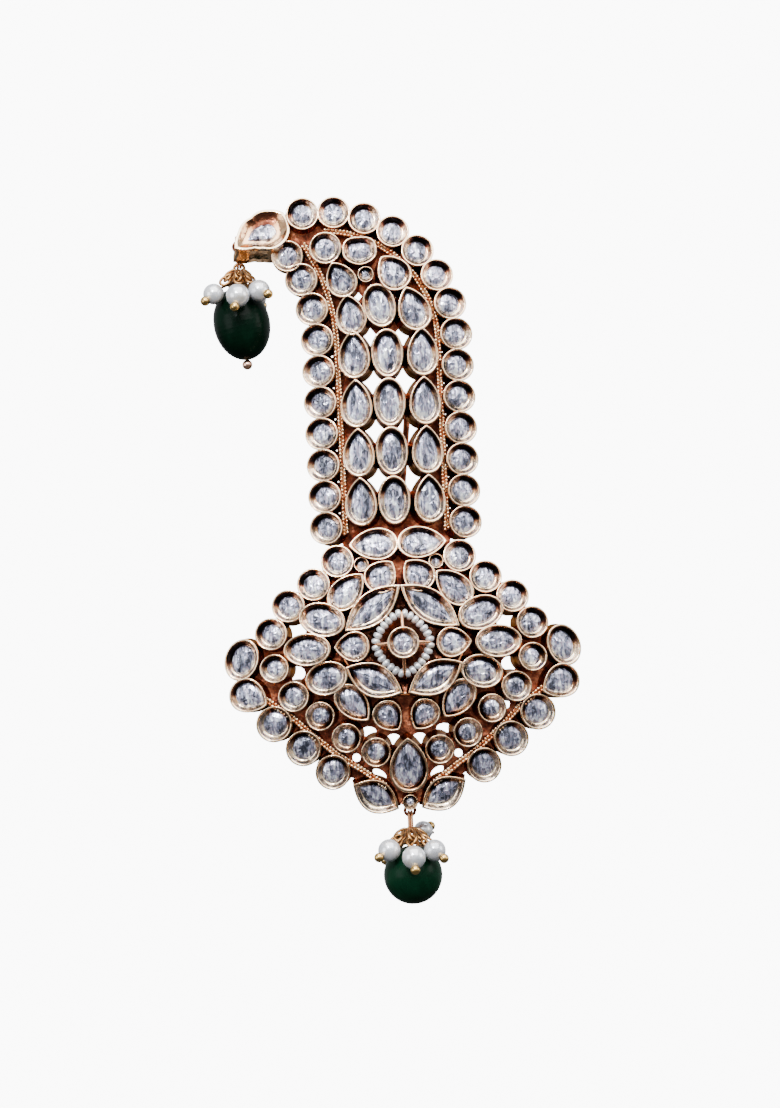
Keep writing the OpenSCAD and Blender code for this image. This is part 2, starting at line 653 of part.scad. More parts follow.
for (k = [1:6]) {
    if (shown(str("upper_pearl_", k))) pearl(UPPER_EYE, upper_y, UPPER_PEARLS[k - 1]);
    if (shown(str("lower_pearl_", k))) pearl(LOWER_EYE, lower_y, LOWER_PEARLS[k - 1]);
}
if (shown("upper_ring")) jump_ring(UPPER_EYE, upper_y);
if (shown("upper_wires")) upper_wires();
if (shown("upper_drop")) upper_drop();
if (shown("lower_ring")) jump_ring(LOWER_EYE, lower_y);
if (shown("lower_wires")) lower_wires();
if (shown("lower_bead")) lower_bead();
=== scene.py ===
import math

import bpy
import numpy as np
from bpy.props import FloatProperty, FloatVectorProperty, IntProperty, PointerProperty
from mathutils import Matrix, Vector
from mathutils.geometry import delaunay_2d_cdt


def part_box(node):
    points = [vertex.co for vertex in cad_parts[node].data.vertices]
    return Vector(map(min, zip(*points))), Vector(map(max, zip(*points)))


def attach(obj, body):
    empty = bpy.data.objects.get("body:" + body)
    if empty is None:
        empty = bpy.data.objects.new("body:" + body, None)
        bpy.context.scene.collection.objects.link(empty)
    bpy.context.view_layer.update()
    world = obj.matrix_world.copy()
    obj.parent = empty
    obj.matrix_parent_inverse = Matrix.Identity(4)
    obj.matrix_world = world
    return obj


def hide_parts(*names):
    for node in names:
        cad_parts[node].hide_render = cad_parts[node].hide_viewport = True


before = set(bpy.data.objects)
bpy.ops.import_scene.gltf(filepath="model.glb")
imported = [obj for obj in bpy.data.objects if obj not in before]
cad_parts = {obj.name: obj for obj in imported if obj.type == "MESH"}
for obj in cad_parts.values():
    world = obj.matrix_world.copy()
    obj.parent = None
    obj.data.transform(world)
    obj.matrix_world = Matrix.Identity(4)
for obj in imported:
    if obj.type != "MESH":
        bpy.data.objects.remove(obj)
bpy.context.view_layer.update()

bl_info = {
    "name": "Kalgi Turban Brooch",
    "version": (1, 0, 0),
    "blender": (4, 5, 0),
    "location": "View3D > Sidebar > Kalgi",
    "description": "Collets, stones, pearls, wires and stage for a kalgi turban brooch",
    "category": "Object",
}

MM = 0.001
ROUND, PEAR, LEAF, SHIELD, FAN = range(5)

# Shapes are drawn lying on their back, in mm: x to the right, y up the brooch and z towards the front, from the
# point behind the flower's middle that is on the back of the column's plate
FLOWER_PLACE = np.array([-3.0, -5.5, -41.0])
# Thickness of a plate, levels of the plaque's back and front and of the boss's face, and height of the
# flower's cup
PLATE = 0.9
PLAQUE_LIFT = 2.0
PLAQUE_FRONT = PLAQUE_LIFT + PLATE
BOSS_FRONT = PLAQUE_FRONT + 3.3
FLOWER_HEIGHT = 5.0
# Depth of a cup's floor under its rim
SEAT_DEPTH = 0.95
# Width of the funnel between a rim and its stone in mm, for each cut
COLLARS = np.array([0.9, 0.72, 1.1, 0.8, 2.1])

# Stones as rows of x, y, width, height, turn in degrees and cut
FIELD_TOP = [
    (-1.2, 61.5, 5.6, 7.6, 12, ROUND),
    (-6.5, 60.0, 5.2, 7.1, 8, PEAR),
    (5.0, 60.7, 5.6, 7.9, 17, PEAR),
    (-8.0, 66.6, 5.2, 6.5, 25, PEAR),
    (1.6, 67.5, 5.7, 6.7, 35, PEAR),
    (-3.4, 67.3, 2.7, 2.7, 0, ROUND),
    (-10.5, 72.4, 5.5, 5.5, 0, ROUND),
    (-4.3, 71.6, 5.9, 4.9, 180, SHIELD),
]
# The bud, whose cup leans by the slope, and the stone beside it
BUD = (-21.6, 76.4, 9.5, 7.4, 0, FAN)
LAST_LEFT = (-17.4, 71.4, 5.4, 5.4, 33, ROUND)
BUD_SLOPE = (0, 0.5)
# How wide a collar may be as a share of the stone's shorter side, in the bud and in the others
BUD_COLLAR, COLLAR = 0.3, 0.19
# How far the bud's outline is from its middle, as a share of its width, in each direction in degrees
FAN_REACH = np.array([
    (0, 0.484), (41, 0.5), (73, 0.41), (130, 0.332), (185, 0.453), (212, 0.619), (242, 0.384),
    (270, 0.358), (294, 0.41), (350, 0.481), (360, 0.484),
])
# The angle at which the bud's outline starts
FAN_START = math.radians(32)
HALF_BORDER = [
    (4.35, 18.3, 5.6, 8.4, -90, PEAR),
    (6.75, 14.75, 2.5, 2.5, 0, ROUND),
    (11.05, 15.5, 5.6, 5.6, 0, ROUND),
    (15.55, 11.5, 5.6, 5.6, 0, ROUND),
    (20.25, 7.8, 5.6, 5.6, 0, ROUND),
    (23.6, 2.9, 5.5, 5.5, 0, ROUND),
    (29.1, -1.45, 5.7, 7.2, 20, ROUND),
    (28.1, -8.1, 5.8, 6.8, 118, PEAR),
    (23.8, -13.3, 6.1, 6.1, 0, ROUND),
    (18.75, -17.9, 6.0, 6.0, 0, ROUND),
    (13.65, -22.45, 5.9, 5.9, 0, ROUND),
    (6.1, -27.2, 5.5, 8.8, -60, LEAF),
]
HALF_TIER = [
    (3.3, 12.4, 5.5, 6.1, 40, PEAR),
    (9.6, 9.9, 5.2, 7.9, 45, PEAR),
    (14.3, 5.0, 5.8, 8.0, -73, ROUND),
    (17.25, -0.3, 5.6, 8.0, -90, ROUND),
    (14.0, -5.6, 5.7, 7.3, -105, ROUND),
    (23.3, -3.4, 4.9, 4.9, 0, ROUND),
    (20.1, -8.6, 5.2, 5.2, 0, ROUND),
    (15.5, -12.35, 4.9, 4.9, 0, ROUND),
    (10.95, -16.5, 5.0, 5.0, 0, ROUND),
    (5.75, -19.3, 5.0, 5.0, 0, ROUND),
    (9.4, -10.4, 5.1, 7.6, 140, PEAR),
    (3.2, -13.0, 5.0, 5.7, 143, PEAR),
]
UPPER_LEAF = (5.15, 6.6, 5.5, 12.2, 52.4, LEAF)
LOWER_LEAF = (5.55, -6.4, 5.7, 10.6, -63, LEAF)
SIDE_PEAR = (9.2, -0.2, 5.2, 6.0, -90, PEAR)
TIP_PEAR = (0, -21.9, 6.6, 9.2, 0, PEAR)
TIP_ROUND = (0, -28.5, 2.6, 2.6, 0, ROUND)
FLOWER = (0, 0, 5.4, 5.4, 0, ROUND)

# The column's two borders: distance from the middle and radius of the bend, and where both start to bend
RIGHT_X, RIGHT_BEND, LEFT_X, LEFT_BEND, BEND_Y = 12.55, 24.0, 12.75, 30.9, 55.2
# Radii of the column's and the plaque's curved fronts
COLUMN_DOME, PLAQUE_DOME = 36.0, 85.0
# How much lower a rim of the plaque is 30 mm from its middle
DOME_FALL = 0.8
# The middle line of the plaque's strip on the right
LOWER_STRIP = np.array([
    [25.05, -8.8], [20.75, -12.0], [16.6, -15.9], [11.9, -19.8], [7.8, -22.6], [4.4, -25.2]])
# The round border stones: height of the first, distance from one to the next, and width
BORDER_FIRST, BORDER_STEP, BORDER_SIZE = 21.7, 5.7, 5.6


def along_border(x, bend, side, inset, d):
    """Points of a border line: straight up to the bend, then on a circle. d is the distance past the bend's
    start."""
    d = np.asarray(d, float)
    a = np.maximum(d, 0) / bend
    reach = bend - side * inset
    return np.stack([side * x - bend + reach * np.cos(a), BEND_Y + np.where(d < 0, d, reach * np.sin(a))], -1)


def border_row(x, bend, side, count):
    """Rows of the round stones that follow one border, each turned with the border."""
    d = BORDER_FIRST + BORDER_STEP * np.arange(count) - BEND_Y
    p = along_border(x, bend, side, 0, d)
    turn = np.degrees(np.maximum(d, 0) / bend)
    return [(px, py, BORDER_SIZE, BORDER_SIZE, t, ROUND) for (px, py), t in zip(p, turn)]


def mirrored(rows):
    """The same stones on the left side."""
    return [(-x, y, w, h, -turn, cut) for x, y, w, h, turn, cut in rows]


RIGHT_BORDER = border_row(RIGHT_X, RIGHT_BEND, 1, 14)
LEFT_BORDER = border_row(LEFT_X, LEFT_BEND, -1, 9) + [LAST_LEFT]
FIELD_Y = 26.1 + 8.9 * np.arange(4)


def field_pears(side):
    """The pears of one side of the column, with those at its top."""
    top = [s for s in FIELD_TOP if s[5] == PEAR and side * (s[0] + 2) > 0]
    return [(side * 6.25, y, 5.4, 8.4, 0, PEAR) for y in FIELD_Y] + top


def column_slope(p):
    """Slope of the column's curved front at each point: it grows with the distance from the column's bent
    middle line."""
    ry = p[:, 1] - BEND_Y
    right, left = p[:, 0] - RIGHT_X + RIGHT_BEND, p[:, 0] + LEFT_X + LEFT_BEND
    across = (np.hypot(right, ry) - RIGHT_BEND + RIGHT_X + np.hypot(left, ry) - LEFT_BEND - LEFT_X) / 2
    a = np.arctan2(ry, np.where(across > 0, right, left))
    bent = (across / COLUMN_DOME)[:, None] * np.stack([np.cos(a), np.sin(a)], -1)
    straight = np.stack([p[:, 0] / COLUMN_DOME, 0 * p[:, 0]], -1)
    return np.where((p[:, 1] < BEND_Y)[:, None], straight, bent)


class Stones:
    """A group of stones as arrays: places, sizes, cuts, the level they stand on, their rims and slopes."""

    def __init__(self, rows, level, height, ground):
        rows = np.array(rows, float).reshape(-1, 6)
        self.place, self.size, self.cut = rows[:, :2], rows[:, 2:4], rows[:, 5].astype(int)
        self.turn = np.radians(rows[:, 4])
        most = np.where(self.cut == FAN, BUD_COLLAR, COLLAR) * self.size.min(1)
        self.collar = np.minimum(COLLARS[self.cut], most)[:, None]
        fall = DOME_FALL * (np.hypot(*self.place.T) / 30) ** 2 if ground == "plaque" else 0
        self.level = np.full(len(rows), level, float)
        self.rim = self.level + height - fall
        self.slope = {
            "column": column_slope(self.place), "plaque": self.place / PLAQUE_DOME,
            "boss": self.place / PLAQUE_DOME, "flat": 0 * self.place,
        }[ground]
        self.slope[self.cut == FAN] = BUD_SLOPE

    def outline(self, share, n, phase=0.0, inset=0.0):
        """Outlines (stone, point, xy) of each cut at a share of its size, from the top round, turned with the
        stone. inset draws them in, up to 1 at the seat, where the whole collar is taken off each side."""
        t = np.pi / 2 + 2 * np.pi * (np.arange(n) + phase) / n
        c, s = np.cos(t)[None], np.sin(t)[None]
        power = lambda v, p: np.sign(v) * np.abs(v) ** p
        w, h = self.size[:, :1], self.size[:, 1:]
        x = w / 2 * c
        y = h / 2 * s + 0 * x
        kinds = self.cut[:, None]
        x = np.where(kinds == LEAF, w / 2 * power(c, 2), x)
        x = np.where((kinds == PEAR) & (s > 0), w / 2 * power(c, 1.6), x)
        y = np.where(kinds == PEAR, h * (np.where(s > 0, 0.6, 0.4) * s - 0.1), y)
        x = np.where(kinds == SHIELD, w / 2 * np.where(s > 0, power(c, 1.3), power(c, 0.6)), x)
        y = np.where(kinds == SHIELD, h / 2 * power(s, 0.8), y)
        a = FAN_START + 2 * np.pi * (np.arange(n) + phase) / n
        reach = w * np.interp(np.degrees(a) % 360, *FAN_REACH.T)[None]
        x = np.where(kinds == FAN, reach * np.cos(a), x)
        y = np.where(kinds == FAN, reach * np.sin(a), y)
        x = x * share * (1 - 2 * inset * self.collar / w)
        y = y * share * (1 - 2 * inset * self.collar / h)
        ct, st = np.cos(self.turn)[:, None], np.sin(self.turn)[:, None]
        return np.stack([x * ct - y * st, x * st + y * ct], -1)

    def leaning(self, q, down):
        """A ring of outline points at a depth under the rim, leaning with the stone."""
        z = self.rim[:, None] - down - np.einsum("sk,snk->sn", self.slope, q)
        xy = self.place[:, None] + q - self.slope[:, None] * down
        return np.concatenate([xy, z[..., None]], -1)

    def standing(self, q, level):
        """A level ring of outline points, moved to where the stone's lean meets that level."""
        level = np.broadcast_to(level, self.rim.shape)
        xy = self.place[:, None] + q - self.slope[:, None] * (self.rim - level)[:, None, None]
        return np.concatenate([xy, np.broadcast_to(level[:, None, None], xy.shape[:2] + (1,))], -1)


# The level that each kind of cup stands on, its height, and the ground whose lean it follows
COLUMN_EDGE = (PLATE, 3.0, "column")
COLUMN_MIDDLE = (PLATE, 4.4, "column")
PLAQUE_EDGE = (PLAQUE_FRONT, 3.2, "plaque")
PLAQUE_MIDDLE = (PLAQUE_FRONT, 4.7, "plaque")
ON_BOSS = (BOSS_FRONT, 2.6, "boss")
ON_TOP = (BOSS_FRONT, FLOWER_HEIGHT, "flat")

FIELD_OVALS = [(-0.2, y, 5.5, 8.4, 0, ROUND) for y in FIELD_Y]
BOSS_ROWS = {"upper_leaf": UPPER_LEAF, "lower_leaf": LOWER_LEAF, "side_pear": SIDE_PEAR}
COLUMN_BORDER = Stones(RIGHT_BORDER + LEFT_BORDER + [BUD], *COLUMN_EDGE)
COLUMN_FIELD = Stones(FIELD_OVALS + field_pears(-1) + field_pears(1) + [FIELD_TOP[k] for k in (0, 5, 6, 7)],
                      *COLUMN_MIDDLE)
PLAQUE_BORDER = Stones(HALF_BORDER + mirrored(HALF_BORDER) + [TIP_ROUND], *PLAQUE_EDGE)
PLAQUE_TIER = Stones(HALF_TIER + mirrored(HALF_TIER) + [TIP_PEAR], *PLAQUE_MIDDLE)
BOSS = Stones(list(BOSS_ROWS.values()) + mirrored(BOSS_ROWS.values()), *ON_BOSS)
FLOWER_CUP = Stones([FLOWER], *ON_TOP)


def upright(points):
    """Points in mm drawn lying on their back, stood up in the part's frame in metres."""
    x, y, z = np.moveaxis(np.asarray(points, float), -1, 0)
    return (np.stack([x, -z, y], -1) + FLOWER_PLACE) * MM


def hung(points):
    """Points in mm from the flower's middle, x right, y back, z up, in the part's frame in metres."""
    return (np.asarray(points, float) + FLOWER_PLACE) * MM


def lofted(rings, caps=True):
    """Faces of closed tubes through rings. rings is (tube, ring, point, xyz), each ring anticlockwise from the
    front."""
    s, r, n, _ = rings.shape
    base = (np.arange(s) * r * n)[:, None, None]
    a = np.arange(r - 1)[:, None] * n + np.arange(n)[None]
    b = np.arange(r - 1)[:, None] * n + (np.arange(n)[None] + 1) % n
    quads = np.stack([a, b, b + n, a + n], -1)[None] + base[..., None]
    faces = [quads.reshape(-1, 4)]
    if caps:
        first = np.arange(n)[::-1]
        faces.append(first[None] + base[:, 0])
        faces.append((r - 1) * n + np.arange(n)[None] + base[:, 0])
    return rings.reshape(-1, 3), faces


def put(name, shape, body, look, smooth=True, replaces=(), **attributes):
    """A mesh object at the origin, riding on a body, from a shape: points in mm and arrays of faces. Shapes on
    the brooch lie on their back, and those on the links and pendants hang. look is the name of a finish, and
    smooth is one value, or one for each array of faces."""
    points, faces = shape
    place = upright if body == "brooch" else hung
    mesh = bpy.data.meshes.new(name)
    mesh.vertices.add(len(points))
    mesh.vertices.foreach_set("co", place(points).astype(np.float32).ravel())
    corners = np.concatenate([f.ravel() for f in faces]).astype(np.int32)
    counts = [len(f) for f in faces]
    starts = np.cumsum([0] + [f.shape[1] for f in faces for _ in f])[:-1]
    mesh.loops.add(len(corners))
    mesh.loops.foreach_set("vertex_index", corners)
    mesh.polygons.add(len(starts))
    mesh.polygons.foreach_set("loop_start", starts.astype(np.int32))
    mesh.polygons.foreach_set("use_smooth", np.repeat(np.broadcast_to(smooth, len(faces)), counts))
    for key, values in attributes.items():
        values = np.asarray(values, np.float32).ravel()
        domain = "POINT" if len(values) == len(points) else "FACE"
        mesh.attributes.new(key, "FLOAT", domain).data.foreach_set("value", values)
    mesh.update()
    mesh.validate()
    piece = bpy.data.objects.new(name, mesh)
    bpy.context.scene.collection.objects.link(piece)
    mesh.materials.append(finish(look))
    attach(piece, body)
    if replaces:
        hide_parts(*replaces)


def merged(parts):
    """Several (points, faces) as one, with the faces' numbers moved on."""
    points, faces, start = [], [], 0
    for p, fs in parts:
        points.append(p)
        faces += [f + start for f in fs]
        start += len(p)
    return np.concatenate(points), faces


def swept(path, radius, sides=10, closed=False):
    """A round tube along a path of points, with rings square to the path, turned as little as possible."""
    path = np.asarray(path, float)
    step = np.roll(path, -1, 0) - np.roll(path, 1, 0)
    if not closed:
        step[0], step[-1] = path[1] - path[0], path[-1] - path[-2]
    step /= np.linalg.norm(step, axis=1)[:, None]
    normals = np.empty_like(step)
    first = np.cross(step[0], [0.3, 0.5, 0.81])
    normals[0] = first / np.linalg.norm(first)
    for k in range(1, len(step)):
        v = normals[k - 1] - step[k] * (normals[k - 1] @ step[k])
        normals[k] = v / np.linalg.norm(v)
    if closed:
        gap = math.atan2(np.cross(normals[-1], normals[0]) @ step[0], normals[-1] @ normals[0])
        a = np.linspace(0, gap, len(step))[:, None]
        normals = normals * np.cos(a) + np.cross(step, normals) * np.sin(a)
    side = np.cross(step, normals)
    t = 2 * np.pi * np.arange(sides) / sides
    radius = np.broadcast_to(radius, (len(path),))[:, None, None]
    rings = path[:, None] + radius * (np.cos(t)[None, :, None] * normals[:, None]
                                      + np.sin(t)[None, :, None] * side[:, None])
    if closed:
        points, faces = lofted(np.concatenate([rings, rings[:1]])[None], caps=False)
        n = len(path) * sides
        return points[:n], [f % n for f in faces]
    return lofted(rings[None])


def balls(centres, radii, rows=9, columns=16, axes=None, flat=1.0, barrel=1.0):
    """Round beads: rings of latitude with a cap at each pole. axes turns each bead's own axis, flat squashes it
    along that axis, and barrel is the power on the rings' radii: 1 for a ball, less for a drum with round
    shoulders."""
    centres = np.asarray(centres, float).reshape(-1, 3)
    radii = np.broadcast_to(radii, (len(centres),))
    v = np.pi * (np.arange(rows) + 0.5) / rows
    u = 2 * np.pi * np.arange(columns) / columns
    out = np.sin(v)[:, None] ** barrel
    unit = np.stack([out * np.cos(u), out * np.sin(u), -np.cos(v)[:, None] + 0 * u], -1)
    unit[..., 2] *= flat
    unit = np.broadcast_to(unit, (len(centres),) + unit.shape)
    if axes is not None:
        a = np.asarray(axes, float)
        a = a / np.linalg.norm(a, axis=1)[:, None]
        helper = np.where(np.abs(a[:, 2:]) < 0.9, [[0, 0, 1.0]], [[1.0, 0, 0]])
        x = np.cross(helper, a)
        x /= np.linalg.norm(x, axis=1)[:, None]
        y = np.cross(a, x)
        basis = np.stack([x, y, a], 1)
        unit = np.einsum("srnk,skj->srnj", unit, basis)
    return lofted(centres[:, None, None] + radii[:, None, None, None] * unit)


def lengths(line):
    """Length along a line at each of its points."""
    return np.concatenate([[0], np.cumsum(np.linalg.norm(np.diff(line, axis=0), axis=1))])


def at_lengths(line, t):
    """Points on a line at lengths t along it."""
    return np.stack([np.interp(t, lengths(line), axis) for axis in line.T], -1)


def curve_through(points, count):
    """count points on a smooth curve through the given points, spaced evenly by their chords."""
    points = np.asarray(points, float)
    s = lengths(points)
    d = np.gradient(points, s, axis=0)
    t = np.linspace(0, s[-1], count)
    k = np.clip(np.searchsorted(s, t, side="right") - 1, 0, len(s) - 2)
    h = (s[k + 1] - s[k])[:, None]
    u = ((t - s[k]) / h[:, 0])[:, None]
    a, b = points[k], points[k + 1]
    return ((2 * u**3 - 3 * u**2 + 1) * a + (u**3 - 2 * u**2 + u) * h * d[k]
            + (3 * u**2 - 2 * u**3) * b + (u**3 - u**2) * h * d[k + 1])


class Level:
    """A shader value. Expressions on it add Math nodes."""

    def __init__(self, nodes, socket):
        self.nodes, self.socket = nodes, socket

    def _math(self, operation, *terms):
        values = {k: t.socket if isinstance(t, Level) else t for k, t in enumerate(terms)}
        return Level(self.nodes, self.nodes.node("ShaderNodeMath", {"operation": operation}, values).outputs[0])

    def __add__(self, other):
        return self._math("ADD", self, other)

    def __sub__(self, other):
        return self._math("SUBTRACT", self, other)

    def __rsub__(self, other):
        return self._math("SUBTRACT", other, self)

    def __mul__(self, other):
        return self._math("MULTIPLY", self, other)

    __radd__, __rmul__ = __add__, __mul__


class Nodes:
    """The nodes of a material or of the surroundings. Colours have names in one group of settings."""

    def __init__(self, owner, look=None):
        owner.use_nodes = True
        self.tree, self.look = owner.node_tree, look

    def node(self, kind, settings=None, values=None):
        """A node of that type, with its settings made first and then its sockets' values or links."""
        node = self.tree.nodes.new(kind)
        for key, value in (settings or {}).items():
            if key == "stops":
                elements = node.color_ramp.elements
                while len(elements) < len(value):
                    elements.new(0.5)
                for element, (place, colour) in zip(elements, value):
                    element.position, element.color = place, self.colour(colour)
            else:
                setattr(node, key, value)
        for key, value in (values or {}).items():
            if isinstance(value, bpy.types.NodeSocket):
                self.tree.links.new(value, node.inputs[key])
            else:
                node.inputs[key].default_value = value
        return node

    def colour(self, value):
        """A colour with its alpha, from its name in the settings or from three numbers."""
        return (*(getattr(self.look, value) if isinstance(value, str) else value), 1)

    def ramp(self, level, stops):
        return self.node("ShaderNodeValToRGB", {"stops": stops}, {"Fac": level.socket}).outputs["Color"]


class Finish(Nodes):
    """A material with one main shader, and the nodes that feed it."""

    def __init__(self, name, group, **sockets):
        self.material = bpy.data.materials.new(name)
        super().__init__(self.material, getattr(bpy.context.scene, group))
        self.shader = self.tree.nodes["Principled BSDF"]
        for key, value in sockets.items():
            self.shader.inputs[key.replace("_", " ")].default_value = value

    def place(self, scale=(1, 1, 1)):
        """Object coordinates in mm, stretched by a scale."""
        where = self.node("ShaderNodeTexCoord").outputs["Object"]
        size = [1000 * v for v in scale]
        return self.node("ShaderNodeMapping", None, {"Vector": where, "Scale": size}).outputs[0]

    def noise(self, vector, scale, detail=3.0, roughness=0.55):
        values = {"Vector": vector, "Scale": scale, "Detail": detail, "Roughness": roughness}
        return Level(self, self.node("ShaderNodeTexNoise", None, values).outputs["Fac"])

    def attribute(self, name):
        return Level(self, self.node("ShaderNodeAttribute", {"attribute_name": name}).outputs["Fac"])

    def bump(self, level, distance, strength=1.0):
        """Bumps whose depth is distance, in mm."""
        values = {"Height": level.socket, "Distance": distance * MM, "Strength": strength}
        self.feed("Normal", self.node("ShaderNodeBump", None, values).outputs[0])

    def feed(self, socket, source):
        self.tree.links.new(source.socket if isinstance(source, Level) else source, self.shader.inputs[socket])


FINISHES = {}


def finish(name):
    """The material of that name, made the first time it is asked for."""
    if name not in FINISHES:
        made = clouded_metal(*METALS[name]) if name in METALS else MAKERS[name]()
        FINISHES[name] = made.material
    return FINISHES[name]


def polished_gold():
    """Rose gold, with light and shade painted into its colour. Its attribute of painted light and shade runs
    from the cream painted highlight of a lit funnel through rose and brown to the dark painted shade of a
    funnel that faces down."""
    f = Finish("polished_rose_gold", "kalgi_metal", Metallic=1.0, Specular_Tint=(0.6, 0.45, 0.35, 1))
    at = f.place()
    cloud = f.noise(at, 0.8)
    # Painted light and shade from each piece's attribute, varied by a random cloud
    tone = f.attribute("tone") + 0.45 * (cloud - 0.5)
    f.feed("Base Color", f.ramp(tone, (
        (0.02, "cream"), (0.25, "pale"), (0.45, "rose"), (0.6, "brown"), (0.75, "deep"), (0.9, "painted_shade"))))
    f.feed("Roughness", 0.1 + 0.16 * cloud)
    f.bump(f.noise(at, 1.1, 2.0), 0.09)
    return f


def clouded_metal(name, colours, scale, detail, rough, dents=None, tint=(1, 1, 1)):
    """Metal whose colour and roughness follow one cloud. colours is rows of the cloud's level and a colour,
    rough the least roughness and what the cloud adds, and dents the scale, detail and depth of its dents."""
    f = Finish(name, "kalgi_metal", Metallic=1.0, Specular_Tint=(*tint, 1))
    at = f.place()
    cloud = f.noise(at, scale, detail)
    f.feed("Base Color", f.ramp(cloud, colours))
    f.feed("Roughness", rough[0] + rough[1] * cloud)
    if dents:
        f.bump(f.noise(at, *dents[:2]), dents[2])
    return f


def foiled_stone():
    """Clear cut stone over crinkled silver foil: grey, blue and lilac streaks up and down, with painted white
    glints.
    An attribute of random painted glints lightens each facet by chance, and fall paints shade on the upper end
    and light on the lower."""
    f = Finish("foiled_stone", "kalgi_stone", Metallic=0.65, Coat_Weight=0.6, Coat_Roughness=0.03)
    at = f.place((1.5, 1, 0.4))
    drift = f.node("ShaderNodeTexNoise", None, {"Vector": at, "Scale": 0.5, "Detail": 2.0}).outputs["Color"]
    bend = {0: drift, 1: (1.5, 1.5, 1.5), 2: at}
    bent = f.node("ShaderNodeVectorMath", {"operation": "MULTIPLY_ADD"}, bend).outputs[0]
    cells = f.node("ShaderNodeTexVoronoi", {"feature": "F1"}, {"Vector": bent, "Scale": 0.85})
    pick = Level(f, f.node("ShaderNodeSeparateColor", None, {0: cells.outputs["Color"]}).outputs[0])
    streaks = f.noise(bent, 1.5, 3.0, 0.6)
    painted_glints = f.noise(bent, 0.55, 2.0, 0.5)
    # Random cells and streaks, with painted white glints, painted glints on facets by chance, and painted shade
    # on each stone's upper end with painted light on its lower end
    tone = 0.13 + (pick * 0.36 + (streaks - 0.5) * 1.4 + (painted_glints - 0.5) * 1.1) + f.attribute("facet") * 0.36
    tone = tone - f.attribute("fall") * 0.4
    f.feed("Base Color", f.ramp(tone, (
        (0.1, "dark"), (0.3, "grey"), (0.46, "blue"), (0.58, "lilac"), (0.72, "pale"), (0.88, "white"))))
    f.feed("Roughness", 0.08 + 0.2 * streaks)
    f.bump(Level(f, cells.outputs["Distance"]) * 0.6 + streaks * 0.5 + pick * 0.4, f.look.crinkle, 0.8)
    return f


def pearl():
    """White nacre with a faint blue-grey cloud."""
    f = Finish("pearl", "kalgi_pearl", Metallic=0.5, Roughness=0.24, Coat_Weight=1.0, Coat_Roughness=0.05)
    at = f.place()
    f.feed("Base Color", f.ramp(f.noise(at, 0.42, 3.0), ((0.35, "shade"), (0.55, "body"), (0.7, "warm"))))
    f.bump(f.noise(at, 1.3, 2.0), 0.03)
    return f


def green_stone(name, share):
    """Nearly opaque dark green, with paler clouds in it. share mixes the deep green with the light one."""
    f = Finish(name, "kalgi_pearl", Specular_IOR_Level=0.05)
    cloud = f.noise(f.place((1, 1, 0.5)), 0.28, 5.0, 0.6)
    deep, light = np.array(f.look.green_deep), np.array(f.look.green_light)
    body = deep + (light - deep) * share
    f.feed("Base Color", f.ramp(cloud, ((0.35, body * 0.7), (0.55, body), (0.75, body * 1.6))))
    f.feed("Roughness", 0.2 + 0.16 * cloud)
    f.bump(f.noise(f.place(), 0.6, 2.0), 0.06)
    return f


def stage_white():
    """The plain pale floor and wall. The wall attribute, 0 on the floor and 1 on the wall, gives it light."""
    f = Finish("pale_stage", "kalgi_stage", Roughness=0.9)
    f.shader.inputs["Emission Strength"].default_value = f.look.wall_glow
    cloud = f.noise(f.place((0.02, 0.02, 0.02)), 1.0)
    f.feed("Base Color", f.ramp(cloud, ((0, (0.88,) * 3), (1, (0.92,) * 3))))
    f.feed("Emission Color", f.ramp(f.attribute("wall"), ((0, (0,) * 3), (1, (1,) * 3))))
    return f


# The metals whose look is one cloud, as what clouded_metal takes
METALS = {
    "copper": ("reddish_backing", ((0.34, "deep"), (0.5, "copper"), (0.66, "bright_copper")), 0.5, 4.0,
               (0.2, 0.3), (1.6, 3.0, 0.2), (0.6, 0.4, 0.3)),
    "grain": ("grained_gold", ((0.2, "copper"), (0.34, "bright_copper"), (0.44, "pale"), (0.54, "cream")), 0.9,
              3.0, (0.1, 0.25)),
    "yellow": ("yellow_gold", ((0, "yellow"), (1, "old_gold")), 0.8, 3.0, (0.14, 0.14), (1.5, 3.0, 0.06)),
    "wire": ("bronze_wire", ((0, "wire"), (1, "copper")), 0.9, 4.0, (0.2, 0.2)),
    "rose": ("rose_metal", ((0, "bright_copper"), (1, "pale")), 1.2, 3.0, (0.14, 0.2)),
    "pink": ("pinkish_metal", ((0, "pink"), (1, "pale")), 1.2, 3.0, (0.14, 0.2)),
}
MAKERS = {
    "gold": polished_gold, "stone": foiled_stone, "pearl": pearl, "stage": stage_white,
    "drop": lambda: green_stone("dark_green_drop", 0.15), "bead": lambda: green_stone("green_bead", 0.6),
}


def colour_property(name, description, default):
    return FloatVectorProperty(name=name, description=description, subtype="COLOR", size=3, min=0, max=1,
                               default=default)


def number_property(name, description, default, **more):
    return FloatProperty(name=name, description=description, default=default, **more)


class KalgiCollets(bpy.types.PropertyGroup):
    """Sizes of the cups that hold the stones"""
    rim_share: number_property("Rim", "Width of a rim as a share of its size in the tables", 1.065,
                               min=1.0, max=1.08)
    foot_share: number_property("Waist", "Width of a cup's waist as a share of its rim", 0.86, min=0.7, max=0.9)
    points: IntProperty(name="Points", description="Points round each cup", default=44, min=24, max=64)


